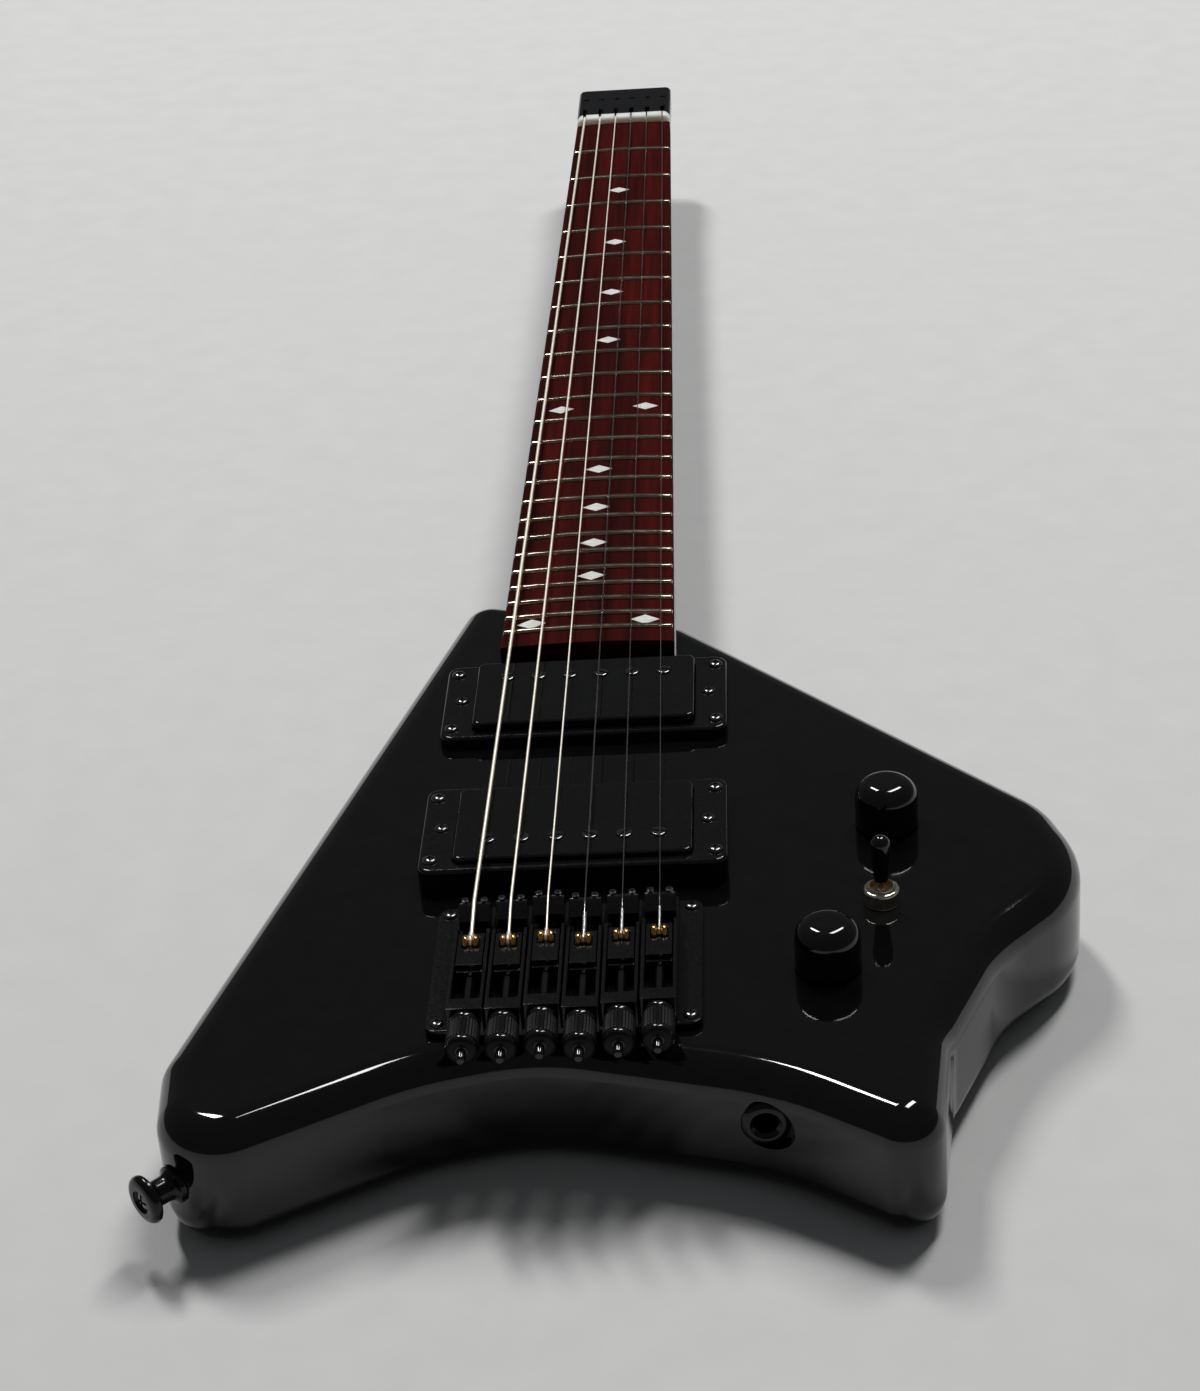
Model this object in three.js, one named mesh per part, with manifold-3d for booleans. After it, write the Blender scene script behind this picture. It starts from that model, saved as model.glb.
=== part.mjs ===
// Headless travel guitar: small horned body, bolt-on neck, two covered pickups,
// and a bridge that tunes each string by a knurled knob pulling a sliding carriage.
// Millimetres. X to the treble side, Y from the saddle line to the head, Z up from the back.
import * as THREE from 'three';
import { mergeVertices } from 'three/addons/utils/BufferGeometryUtils.js';
import Module from 'manifold-3d';

const wasm = await Module();
wasm.setup();

// Driving dimensions of the whole instrument
const scaleLength = 648;
const fretCount = 24;
const semitonesPerOctave = 12;
const bodyWidth = 252;
const tailLength = 91;
const pocketLength = 36.4;
const bodyThickness = 40;
const topRounding = 10;
const backRounding = 10;
const nutWidth = 43;
const boardEndWidth = 56.4;
const boardOverhang = 9.5;
const boardThickness = 6;
const boardRadius = 400;
const neckRise = 4;
const headLength = 42;
const stringDiameters = [1.17, 0.91, 0.66, 0.43, 0.33, 0.25];
const nutSpacing = 7.2;
const bridgeSpacing = 10.4;
const nutStringRise = 1.5;
const saddleStringRise = 3.6;
const intonationSpread = 1.7;
const intonationShares = [-0.53, -0.65, 0.06, -1, -0.24, 0.47];

// Clearances and overruns shared by all pieces
const clearance = 0.3;
const fineClearance = 0.15;
const overrun = 1;

// Fret places, and the board's end a little past the last of them
const fretY = (n) => scaleLength / 2 ** (n / semitonesPerOctave);
const boardEndY = fretY(fretCount) - boardOverhang;
const bodyEndY = boardEndY + pocketLength;

// Heights that the pieces share
const neckTop = bodyThickness + neckRise;
const boardTop = neckTop + boardThickness;
const strings = stringDiameters.length;

// Finishes, each mesh with a material of its own
const finishes = {
  blackLacquer: { color: 0x060607, roughness: 0.08, metalness: 0 },
  redWood: { color: 0x4a1410, roughness: 0.5, metalness: 0 },
  bone: { color: 0xf2efe4, roughness: 0.4, metalness: 0 },
  nickel: { color: 0xb9b4aa, roughness: 0.25, metalness: 1 },
  chrome: { color: 0xd8d8d8, roughness: 0.1, metalness: 1 },
  blackMetal: { color: 0x0d0d0e, roughness: 0.3, metalness: 0.8 },
  blackPlastic: { color: 0x0a0a0b, roughness: 0.25, metalness: 0 },
  steel: { color: 0x9a9a9c, roughness: 0.35, metalness: 1 },
  copperWire: { color: 0x7a3b1c, roughness: 0.6, metalness: 0.4 },
};

const guitar = new THREE.Group();

function place(name, geometry, finish, parent = guitar) {
  const mesh = new THREE.Mesh(geometry, new THREE.MeshStandardMaterial(finishes[finish]));
  mesh.name = name;
  parent.add(mesh);
  return mesh;
}

// Closed surfaces: merge corners, drop slivers with a repeated corner, face outwards
function closed(geometry) {
  const bare = geometry.clone();
  bare.deleteAttribute('normal');
  bare.deleteAttribute('uv');
  const merged = mergeVertices(bare);
  const points = merged.getAttribute('position');
  const corners = merged.getIndex().array;
  const kept = [];
  let volume = 0;
  const [a, b, c] = [new THREE.Vector3(), new THREE.Vector3(), new THREE.Vector3()];
  for (let i = 0; i < corners.length; i += 3) {
    const [p, q, r] = [corners[i], corners[i + 1], corners[i + 2]];
    if (p === q || q === r || r === p) continue;
    kept.push(p, q, r);
    a.fromBufferAttribute(points, p);
    b.fromBufferAttribute(points, q);
    c.fromBufferAttribute(points, r);
    volume += a.dot(b.cross(c));
  }
  if (volume < 0) kept.reverse();
  merged.setIndex(kept);
  merged.computeVertexNormals();
  return merged;
}

function solidOf(geometry) {
  const clean = closed(geometry);
  return new wasm.Manifold(new wasm.Mesh({
    numProp: 3,
    vertProperties: new Float32Array(clean.getAttribute('position').array),
    triVerts: new Uint32Array(clean.getIndex().array),
  }));
}

function geometryOf(solid) {
  const mesh = solid.getMesh();
  const geometry = new THREE.BufferGeometry();
  geometry.setAttribute('position', new THREE.BufferAttribute(mesh.vertProperties, 3));
  geometry.setIndex(new THREE.BufferAttribute(mesh.triVerts, 1));
  geometry.computeVertexNormals();
  return geometry;
}

function cut(geometry, tools) {
  return geometryOf(tools.reduce((solid, tool) => solid.subtract(solidOf(tool)), solidOf(geometry)));
}

function join(geometries) {
  const [first, ...others] = geometries.map(solidOf);
  return geometryOf(others.reduce((solid, other) => solid.add(other), first));
}

// Basic stock: each stands on z = 0 and is moved by its own geometry calls
function box(width, length, height) {
  return new THREE.BoxGeometry(width, length, height).translate(0, 0, height / 2);
}

function post(radius, height, sides) {
  return new THREE.CylinderGeometry(radius, radius, height, sides)
    .rotateX(Math.PI / 2)
    .translate(0, 0, height / 2);
}

function prism(points, height) {
  return new THREE.ExtrudeGeometry(new THREE.Shape(points), { depth: height, bevelEnabled: false });
}

// A profile of [radius, height] pairs turned about Z
function turned(profile, sides) {
  const points = profile.map(([radius, height]) => new THREE.Vector2(radius, height));
  return new THREE.LatheGeometry(points, sides).rotateX(Math.PI / 2);
}

function alongY(geometry) {
  return geometry.rotateX(-Math.PI / 2);
}

function alongX(geometry) {
  return geometry.rotateY(Math.PI / 2);
}

// Outline of a polygon whose corners, [x, y, radius], are rounded by arcs, each limited
// by the sides beside it. Each point keeps the outward direction there, for offsets.
const arcStep = Math.PI / 14;
const smallArcStep = Math.PI / 6;

const roundingLimitShare = 0.99;

function roundedOutline(corners, step = arcStep) {
  const bends = corners.map(([x, y, radius], i) => {
    const corner = new THREE.Vector2(x, y);
    const [before, after] = [corners.at(i - 1), corners[(i + 1) % corners.length]];
    const back = new THREE.Vector2(before[0], before[1]).sub(corner);
    const forth = new THREE.Vector2(after[0], after[1]).sub(corner);
    const half = Math.acos(back.dot(forth) / back.length() / forth.length()) / 2;
    return { corner, back, forth, half, reach: radius / Math.tan(half) };
  });
  const outline = [];
  bends.forEach(({ corner, back, forth, half, reach }, i) => {
    const [before, after] = [bends.at(i - 1), bends[(i + 1) % bends.length]];
    const limited = reach * Math.min(
      1,
      roundingLimitShare * back.length() / (reach + before.reach),
      roundingLimitShare * forth.length() / (reach + after.reach),
    );
    const [toBack, toForth] = [back.clone().normalize(), forth.clone().normalize()];
    const middle = toBack.clone().add(toForth).normalize();
    const centre = middle.multiplyScalar(limited / Math.cos(half)).add(corner);
    const start = toBack.multiplyScalar(limited).add(corner).sub(centre);
    const end = toForth.multiplyScalar(limited).add(corner).sub(centre);
    const turn = Math.atan2(start.cross(end), start.dot(end));
    const steps = Math.max(1, Math.round(Math.abs(turn) / step));
    for (let k = 0; k <= steps; k += 1) {
      const arm = start.clone().rotateAround(new THREE.Vector2(), turn * k / steps);
      const out = arm.clone().normalize().multiplyScalar(Math.sign(turn));
      outline.push({ point: arm.add(centre), out });
    }
  });
  return outline;
}

function offsetPoints(outline, distance) {
  return outline.map(({ point, out }) => point.clone().addScaledVector(out, distance));
}

function level(outline, distance, height) {
  return offsetPoints(outline, distance).map(({ x, y }) => new THREE.Vector3(x, y, height));
}

// Skin over rings of equal point counts, with flat ends
function loft(rings, flatten = ({ x, y }) => new THREE.Vector2(x, y)) {
  const count = rings[0].length;
  const faces = [];
  for (let r = 0; r + 1 < rings.length; r += 1) {
    for (let i = 0; i < count; i += 1) {
      const [a, b] = [r * count + i, r * count + (i + 1) % count];
      const [c, d] = [a + count, b + count];
      faces.push(a, b, d, a, d, c);
    }
  }
  const flat = rings[0].map(flatten);
  const clockwise = THREE.ShapeUtils.isClockWise(flat);
  const cap = THREE.ShapeUtils.triangulateShape(clockwise ? flat.slice().reverse() : flat, []);
  const top = (rings.length - 1) * count;
  cap.forEach((face) => {
    const [a, b, c] = clockwise ? face.map((i) => count - 1 - i) : face;
    faces.push(...(clockwise ? [a, b, c] : [c, b, a]));
  });
  const flatTop = rings.at(-1).map(flatten);
  const capTop = THREE.ShapeUtils.triangulateShape(clockwise ? flatTop.slice().reverse() : flatTop, []);
  capTop.forEach((face) => {
    const [a, b, c] = clockwise ? face.map((i) => count - 1 - i) : face;
    faces.push(...(clockwise ? [c + top, b + top, a + top] : [a + top, b + top, c + top]));
  });
  const geometry = new THREE.BufferGeometry().setFromPoints(rings.flat());
  geometry.setIndex(faces);
  return closed(geometry);
}

// Screws: a turned head and shank, head top at z = 0, shank down
function screw({ headRadius, headHeight, shankRadius, length, sides }) {
  return turned([
    [0, -length],
    [shankRadius, -length],
    [shankRadius, -headHeight],
    [headRadius, -headHeight],
    [headRadius, 0],
    [0, 0],
  ], sides);
}

function countersunk({ headRadius, headHeight, shankRadius, length, sides }) {
  return turned([
    [0, -length],
    [shankRadius, -length],
    [shankRadius, -headHeight],
    [headRadius, 0],
    [0, 0],
  ], sides);
}

// String places, from the low string at -X to the high one at +X
const stringPlaces = stringDiameters.map((diameter, i) => {
  const step = i - (strings - 1) / 2;
  const nutX = step * nutSpacing;
  const bridgeX = step * bridgeSpacing;
  return {
    diameter,
    nutX,
    bridgeX,
    nutZ: boardTop + nutStringRise + diameter / 2 - nutX ** 2 / (2 * boardRadius),
    saddleZ: boardTop + saddleStringRise + diameter / 2 - bridgeX ** 2 / (2 * boardRadius),
    crestY: intonationSpread * intonationShares[i],
  };
});

// Place on the body from shares of its width and of its length ahead of or behind the
// crest line, so that the outline and all that is let into it keep together
function onBody([xShare, yShare]) {
  return new THREE.Vector2(xShare * bodyWidth, yShare * (yShare > 0 ? bodyEndY : tailLength));
}

// Body outline: corners of the plan. The third share is how much rounder than the
// tightest corner each one is.
const bodyCornerShares = [
  [-0.1673, 1.098, 0],
  [-0.4376, -0.5578, 0.028],
  [-0.4218, -1.0738, 0.03],
  [-0.155, -0.6494, 0.275],
  [-0.032, -0.5638, 0.158],
  [0.216, -0.755, 0.275],
  [0.39, -1.092, 0.002],
  [0.4135, -0.5395, 0.077],
  [0.482, -0.0879, 0.2],
  [0.6026, 0.136, 0.119],
  [0.5572, 0.33, 0.087],
  [0.128, 0.9684, 0],
];
const tightestCorner = Math.max(topRounding, backRounding) + 2 * clearance;
const bodyOutline = roundedOutline(bodyCornerShares.map((shares) => (
  [...onBody(shares), tightestCorner + shares.at(-1) * bodyWidth]
)));

// Point of the outline whose outward direction is nearest to an angle
function edgeFacing(angle) {
  const wanted = new THREE.Vector2(Math.cos(angle), Math.sin(angle));
  return bodyOutline.reduce((best, here) => (here.out.dot(wanted) > best.out.dot(wanted) ? here : best));
}

function boardWidthAt(y) {
  return nutWidth + (boardEndWidth - nutWidth) * (scaleLength - y) / (scaleLength - boardEndY);
}

// Controls on the treble side
const controlShares = [[0.3635, 0.2726], [0.2857, -0.2198], [0.3496, 0.0561], [0.2119, -0.7418]];
const [volumePlace, tonePlace, switchPlace, jackPlace] = controlShares.map(onBody);

// Control cavity routed from the back, its cover let into a rebate
const cavity = { ceiling: 33.4, margin: 20, wide: 26, narrow: 10, rounding: 9, rebate: 5 };
const coverThickness = 2;
const cavityOutline = roundedOutline([
  [tonePlace.x - cavity.wide, tonePlace.y - cavity.margin, cavity.rounding],
  [tonePlace.x + cavity.margin, tonePlace.y - cavity.margin, cavity.rounding],
  [switchPlace.x + cavity.margin, switchPlace.y, cavity.rounding],
  [volumePlace.x + cavity.margin, volumePlace.y + cavity.narrow, cavity.rounding],
  [volumePlace.x, volumePlace.y + cavity.wide, cavity.rounding],
  [volumePlace.x - cavity.margin, volumePlace.y, cavity.rounding],
  [tonePlace.x - cavity.wide, tonePlace.y + cavity.narrow, cavity.rounding],
], smallArcStep);

// Pickups: the same parts twice, the bridge one raised higher
const pickup = {
  ringWidth: 90,
  ringLength: 45.6,
  ringRounding: 4,
  ringBevel: 1.2,
  coverWidth: 69.6,
  coverLength: 38.4,
  coverHeight: 18,
  coverRounding: 2.4,
  coverBevel: 0.9,
  wall: 1,
  floorZ: 20,
  earWidth: 87.2,
  earLength: 14,
  baseThickness: 1.4,
  legBeyondScrew: 2.95,
  legLength: 9,
  coilLength: 15.6,
  coilHeight: 10,
  coilSlot: 6.2,
  heightScrewX: 39.25,
  poleRow: 9.3,
  poleSpacing: 10,
  boardGap: 2.2,
  plateGap: 10.8,
};
const plateFront = 12;
const pickupPlaces = [
  {
    name: 'neck',
    y: boardEndY - pickup.boardGap - pickup.ringLength / 2,
    ringHeight: 4,
    drop: 3,
    poleSide: 1,
  },
  {
    name: 'bridge',
    y: plateFront + pickup.plateGap + pickup.ringLength / 2,
    ringHeight: 8.2,
    drop: 0,
    poleSide: -1,
  },
];
const poleScrew = { headRadius: 2.4, crown: 0.6, shankRadius: 1.4, length: 15, sides: 8 };
const heightScrew = { headRadius: 2.1, headHeight: 1.1, shankRadius: 1.1, sides: 8 };

// Neck heel, bolts and ferrules
const heelBottom = 24.3;
const pocketFloor = heelBottom - clearance;
const heelBeyond = 3.1;
const heelBlendLength = 34;
const boltHalfSpread = 15;
const boltFrontInset = 6;
const boltRearInset = 23.6;
const ferrule = { radius: 4.6, depth: 2.2, sides: 16 };
const neckBolt = { shankRadius: 2.2, length: 36, sides: 8 };

// Y of the body's end line, which slants from the treble to the bass side
function bodyEndAt(x) {
  const [treble, bass] = [bodyCornerShares.at(-1), bodyCornerShares[0]];
  const share = (x / bodyWidth - treble[0]) / (bass[0] - treble[0]);
  return bodyEndY * (treble[1] + (bass[1] - treble[1]) * share);
}

const heelBlockEnd = bodyEndAt(-boardEndWidth / 2) + heelBeyond;
const heelBlendEnd = heelBlockEnd + heelBlendLength;

const boltPlaces = [
  { x: -boltHalfSpread, y: boardEndY + boltFrontInset },
  { x: boltHalfSpread, y: boardEndY + boltFrontInset },
  { x: -boltHalfSpread, y: bodyEndAt(-boltHalfSpread) - boltRearInset },
  { x: boltHalfSpread, y: bodyEndAt(boltHalfSpread) - boltRearInset + boltFrontInset },
];

// Jack in the tail wall, strap buttons at the bass horn and beside the neck
const jack = {
  z: 24,
  spotRadius: 10,
  flangeRadius: 7.2,
  flangeDepth: 2,
  barrelRadius: 5.6,
  barrelLength: 34,
  boreRadius: 3.3,
  boreLength: 30,
  sides: 16,
};
const strapButton = {
  flangeRadius: 5.4,
  waistRadius: 3.6,
  headRadius: 7,
  flangeHeight: 1.6,
  waistHeight: 7.5,
  height: 11.5,
  spotDepth: 1,
  sides: 16,
};
const strapScrew = { headRadius: 3.2, headHeight: 2, shankRadius: 1.6, length: 32, sides: 8 };
const strapPlaces = [
  { name: 'strap_button_horn', angle: Math.PI * 1.25, z: bodyThickness / 2 },
  { name: 'strap_button_neck', angle: Math.PI / 2, z: bodyThickness / 2 - neckRise },
];

// Bridge: a plate, six string blocks, and in each a saddle, a carriage and a tuning knob
const plate = { halfWidth: 37.6, rear: -47.2, thickness: 2.4, rounding: 3 };
const block = {
  width: 9.8,
  front: 10.4,
  rear: -48.3,
  floorThickness: 1.8,
  wallThickness: 1,
  wallFront: -6.5,
  wallHeight: 6.8,
  rearThickness: 5,
  rearRounding: 2,
};
const plateTop = bodyThickness + plate.thickness;
const blockFloor = plateTop + block.floorThickness;
const blockTop = blockFloor + block.wallHeight;
const lockSlot = { y: 7.4, width: 2.8, length: 5 };
const saddle = { width: 8.8, front: 4.4, rear: -5, height: 6, shoulder: 3, nose: 1.2, drop: 0.5 };
const saddleScrew = { radius: 1.2, spread: 2.7, y: 1, rise: 0.3, sides: 6 };
const threadRadius = 1.5;
const threadRise = 2.4;
const threadZ = blockFloor + threadRise;
const threadBeyondBall = 2;
const ball = { y: -17.4, radius: 2.2, waistRadius: 1.5, width: 4.4, flange: 1.2, lift: 0.8, sides: 8 };
const ballZ = threadZ + threadRadius + ball.lift + ball.radius;
const carriage = { front: 4.5, rear: -12, pocketGap: 0.25, tail: 1.4 };
const tuningTravel = 5;
const knob = { length: 13, radius: 4.5, chamfer: 1.2, crown: 0.9, flutes: 10, fluteShare: 0.9 };
const knobFront = block.rear - clearance;

// Screw holes are drilled a little wider than the shanks
function drill(radius, length, sides) {
  return post(radius + fineClearance, length, sides);
}

// Body
const bodySteps = 4;
const backSteps = 3;
const levels = [];
for (let k = 0; k <= backSteps; k += 1) {
  const angle = (Math.PI / 2) * (k / backSteps);
  levels.push(level(bodyOutline, backRounding * (Math.sin(angle) - 1), backRounding * (1 - Math.cos(angle))));
}
for (let k = 0; k < bodySteps; k += 1) {
  const angle = (Math.PI / 2) * (k / (bodySteps - 1));
  const height = bodyThickness - topRounding * (1 - Math.sin(angle));
  levels.push(level(bodyOutline, topRounding * (Math.cos(angle) - 1), height));
}
const pocketMouth = bodyEndY + pocketLength;
const neckPocket = prism([
  new THREE.Vector2(-boardEndWidth / 2 - clearance, boardEndY - clearance),
  new THREE.Vector2(boardEndWidth / 2 + clearance, boardEndY - clearance),
  new THREE.Vector2(boardWidthAt(pocketMouth) / 2 + clearance, pocketMouth),
  new THREE.Vector2(-boardWidthAt(pocketMouth) / 2 - clearance, pocketMouth),
], bodyThickness).translate(0, 0, pocketFloor);

const bodyCuts = [neckPocket];
pickupPlaces.forEach(({ y }) => {
  const depth = bodyThickness - pickup.floorZ + overrun;
  const well = box(pickup.coverWidth + 4 * pickup.wall, pickup.coverLength + 2 * pickup.wall, depth);
  bodyCuts.push(well.translate(0, y, pickup.floorZ));
  bodyCuts.push(box(pickup.earWidth, pickup.earLength, depth).translate(0, y, pickup.floorZ));
});
bodyCuts.push(prism(offsetPoints(cavityOutline, 0), cavity.ceiling + overrun).translate(0, 0, -overrun));
const rebateDepth = coverThickness + clearance;
bodyCuts.push(prism(offsetPoints(cavityOutline, cavity.rebate), rebateDepth + overrun)
  .translate(0, 0, -overrun));

// Wire channels: neck pickup to bridge pickup, bridge pickup to the control cavity
const channelRadius = 3;
const channelZ = pickup.floorZ + channelRadius + clearance;
const channelSides = 8;
const pickupStep = pickupPlaces[0].y - pickupPlaces[1].y;
bodyCuts.push(alongY(post(channelRadius, pickupStep, channelSides))
  .translate(-pickup.poleSpacing, pickupPlaces[1].y, channelZ));
bodyCuts.push(alongX(post(channelRadius, volumePlace.x, channelSides))
  .translate(0, pickupPlaces[1].y, channelZ));

// Holes for the controls' bushings
const bushing = { radius: 4.4, sides: 12 };
for (const { x, y } of [volumePlace, tonePlace, switchPlace]) {
  bodyCuts.push(post(bushing.radius + clearance, bodyThickness, bushing.sides)
    .translate(x, y, cavity.ceiling - overrun));
}

// Jack bore from the tail wall to the cavity, with a flat seat for its flange
bodyCuts.push(alongY(post(jack.barrelRadius + clearance, jack.barrelLength + overrun, jack.sides))
  .translate(jackPlace.x, jackPlace.y, jack.z));
bodyCuts.push(alongY(post(jack.spotRadius, jack.barrelLength, jack.sides))
  .translate(jackPlace.x, jackPlace.y - jack.barrelLength, jack.z));

// Neck bolt holes with their ferrule seats
for (const { x, y } of boltPlaces) {
  bodyCuts.push(drill(neckBolt.shankRadius, bodyThickness, neckBolt.sides).translate(x, y, -overrun));
  bodyCuts.push(post(ferrule.radius + fineClearance, ferrule.depth + overrun, ferrule.sides)
    .translate(x, y, -overrun));
}

// Strap button seats and screw holes, turned to face out of the side wall
function faceOutward(geometry, { angle, z }, distance) {
  const { point, out } = edgeFacing(angle);
  const seat = point.clone().addScaledVector(out, distance);
  return alongX(geometry).rotateZ(Math.atan2(out.y, out.x)).translate(seat.x, seat.y, z);
}
for (const strap of strapPlaces) {
  bodyCuts.push(faceOutward(
    post(strapButton.flangeRadius + clearance, strapButton.height, strapButton.sides),
    strap,
    -strapButton.spotDepth,
  ));
  bodyCuts.push(faceOutward(
    drill(strapScrew.shankRadius, strapScrew.length, strapScrew.sides),
    strap,
    -strapScrew.length,
  ));
}
place('body', cut(loft(levels), bodyCuts), 'blackLacquer');

// Neck: a lofted C profile that squares up into the heel block
const sectionSteps = 12;
const neckDepths = { nut: 15, octave: 16, heel: neckTop - heelBottom };
const [roundness, blendRoundness, squareness] = [2.3, 3.7, 9];

function neckRing(y, depth, power) {
  const half = boardWidthAt(y) / 2;
  const ring = [];
  for (let k = 0; k <= sectionSteps; k += 1) {
    const angle = Math.PI * k / sectionSteps;
    const [c, s] = [Math.cos(angle), Math.abs(Math.sin(angle))];
    const x = -Math.sign(c) * half * Math.abs(c) ** (2 / power);
    const drop = k === 0 || k === sectionSteps ? 0 : depth * s ** (2 / power);
    ring.push(new THREE.Vector3(k === 0 ? -half : k === sectionSteps ? half : x, y, neckTop - drop));
  }
  return ring;
}

const nutThickness = 5;
const headEnd = scaleLength + headLength;
const headRounding = 3;
const octaveY = scaleLength / 2;
const neckRings = [
  neckRing(boardEndY, neckDepths.heel, squareness),
  neckRing(heelBlockEnd, neckDepths.heel, squareness),
  neckRing((heelBlockEnd + heelBlendEnd) / 2, (neckDepths.heel + neckDepths.octave) / 2, blendRoundness),
  neckRing(heelBlendEnd, neckDepths.octave, roundness),
  neckRing(octaveY, neckDepths.octave, roundness),
  neckRing(scaleLength, neckDepths.nut, roundness),
  neckRing(headEnd - headRounding, neckDepths.nut, roundness),
];
const tip = neckRing(headEnd, neckDepths.nut - headRounding / 2, roundness);
const tipShare = (nutWidth - headRounding) / nutWidth;
tip.forEach((point) => point.setX(point.x * tipShare));
neckRings.push(tip);

// Rod slot under the board, with a key hole out of the head end
const rod = { width: 6, height: 9, fromHeel: 10, fromNut: 12, keyRadius: 3 };
const rodStart = heelBlockEnd + rod.fromHeel;
const rodEnd = scaleLength - rod.fromNut;
const rodSlot = box(rod.width + 2 * clearance, rodEnd - rodStart, rod.height + clearance + overrun)
  .translate(0, (rodStart + rodEnd) / 2, neckTop - rod.height - clearance);
const rodAxisZ = neckTop - rod.height / 2 - clearance;
const keyHole = alongY(post(rod.keyRadius, headEnd - rodEnd + 2 * overrun, channelSides))
  .translate(0, rodEnd - overrun, rodAxisZ);
const boltHoles = boltPlaces.map(({ x, y }) => (
  drill(neckBolt.shankRadius, neckBolt.length + clearance, neckBolt.sides)
    .translate(x, y, clearance)
));
place('neck', cut(loft(neckRings, ({ x, z }) => new THREE.Vector2(x, z)), [
  rodSlot,
  keyHole,
  ...boltHoles,
]), 'blackLacquer');

const rodBar = box(rod.width, rodEnd - rodStart - 2 * clearance, rod.height / 3)
  .translate(0, (rodStart + rodEnd) / 2, neckTop - rod.height / 3 - clearance);
const rodRound = alongY(post(rod.width / 2 - clearance, rodEnd - rodStart - 2 * clearance, channelSides))
  .translate(0, rodStart + clearance, rodAxisZ);
place('truss_rod', join([rodBar, rodRound]), 'steel');

// Fretboard: crowned across, tapered along, with its frets pressed in
const arcShares = [-1, -0.5, 0, 0.5, 1];
const crownAt = (x) => boardTop - x ** 2 / (2 * boardRadius);

function boardRing(y) {
  const half = boardWidthAt(y) / 2;
  const upper = arcShares.map((share) => new THREE.Vector3(share * half, y, crownAt(share * half)));
  return [...upper, new THREE.Vector3(half, y, neckTop), new THREE.Vector3(-half, y, neckTop)];
}

// Frets: a low crown laid along the board's arc
const fret = { width: 2.4, height: 1.1, shoulder: 0.7, shoulderWidth: 1.5, endInset: 0.2, bed: 0.4 };

function fretWire(y) {
  const half = boardWidthAt(y) / 2 - fret.endInset;
  return loft(arcShares.map((share) => {
    const x = share * half;
    const foot = crownAt(x);
    return [
      new THREE.Vector3(x, y - fret.width / 2, foot - fret.bed),
      new THREE.Vector3(x, y - fret.shoulderWidth / 2, foot + fret.shoulder),
      new THREE.Vector3(x, y, foot + fret.height),
      new THREE.Vector3(x, y + fret.shoulderWidth / 2, foot + fret.shoulder),
      new THREE.Vector3(x, y + fret.width / 2, foot - fret.bed),
    ];
  }), ({ y: a, z }) => new THREE.Vector2(a, z));
}
const boardBlank = loft([boardRing(boardEndY), boardRing(scaleLength)], ({ x, z }) => new THREE.Vector2(x, z));
const fretWires = [];
for (let n = 1; n <= fretCount; n += 1) fretWires.push(fretWire(fretY(n)));
place('fretboard', join([boardBlank, ...fretWires]), 'redWood');

// Nut with six string slots
const nut = { rise: 3.3, endRounding: 3.4 };
const nutTop = boardTop + nut.rise;
const nutOutline = roundedOutline([
  [-nutWidth / 2, neckTop, fineClearance],
  [nutWidth / 2, neckTop, fineClearance],
  [nutWidth / 2, nutTop, nut.endRounding],
  [-nutWidth / 2, nutTop, nut.endRounding],
], smallArcStep);
const nutBlank = prism(offsetPoints(nutOutline, 0), nutThickness)
  .rotateX(Math.PI / 2)
  .translate(0, scaleLength + nutThickness, 0);
const nutSlots = stringPlaces.map(({ diameter, nutX, nutZ }) => (
  box(diameter + 2 * fineClearance, nutThickness + 2 * overrun, nut.rise + overrun)
    .translate(nutX, scaleLength + nutThickness / 2, nutZ - diameter / 2 - fineClearance)
));
place('nut', cut(nutBlank, nutSlots), 'bone');

// String clamp behind the nut: each string dives into a slot and is pinched by a socket screw
const clamp = { top: boardTop + 2, diveLength: 10, stringZ: neckTop + 3.5, boreRadius: 1.2, slot: 2.1, sides: 8 };
const socket = { radius: 1.5, inset: 14, depth: 1.6, sides: 6 };
const clampStart = scaleLength + nutThickness + clearance;
const clampBevel = 0.8;
const clampOutline = roundedOutline([
  [-nutWidth / 2, clampStart, clampBevel + fineClearance],
  [nutWidth / 2, clampStart, clampBevel + fineClearance],
  [nutWidth / 2, headEnd, headRounding],
  [-nutWidth / 2, headEnd, headRounding],
], smallArcStep);
const clampBlank = loft([
  level(clampOutline, 0, neckTop),
  level(clampOutline, 0, clamp.top - clampBevel),
  level(clampOutline, -clampBevel, clamp.top),
]);
const clampCuts = stringPlaces.flatMap(({ nutX }) => [
  box(clamp.slot, clamp.diveLength + overrun, boardThickness * 2)
    .translate(nutX, clampStart + (clamp.diveLength - overrun) / 2, clamp.stringZ - clamp.boreRadius),
  alongY(post(clamp.boreRadius, headLength, clamp.sides)).translate(nutX, clampStart, clamp.stringZ),
  post(socket.radius, boardThickness, socket.sides)
    .translate(nutX, headEnd - socket.inset, clamp.top - socket.depth),
]);
place('string_clamp', cut(clampBlank, clampCuts), 'blackMetal');

// Neck bolts, each with its ferrule let into the back
boltPlaces.forEach(({ x, y }, i) => {
  const bolt = join([
    post(ferrule.radius, ferrule.depth - clearance, ferrule.sides),
    post(neckBolt.shankRadius, neckBolt.length, neckBolt.sides),
  ]);
  place(`neck_bolt_${i + 1}`, bolt, 'blackMetal').position.set(x, y, clearance / 2);
});

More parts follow.
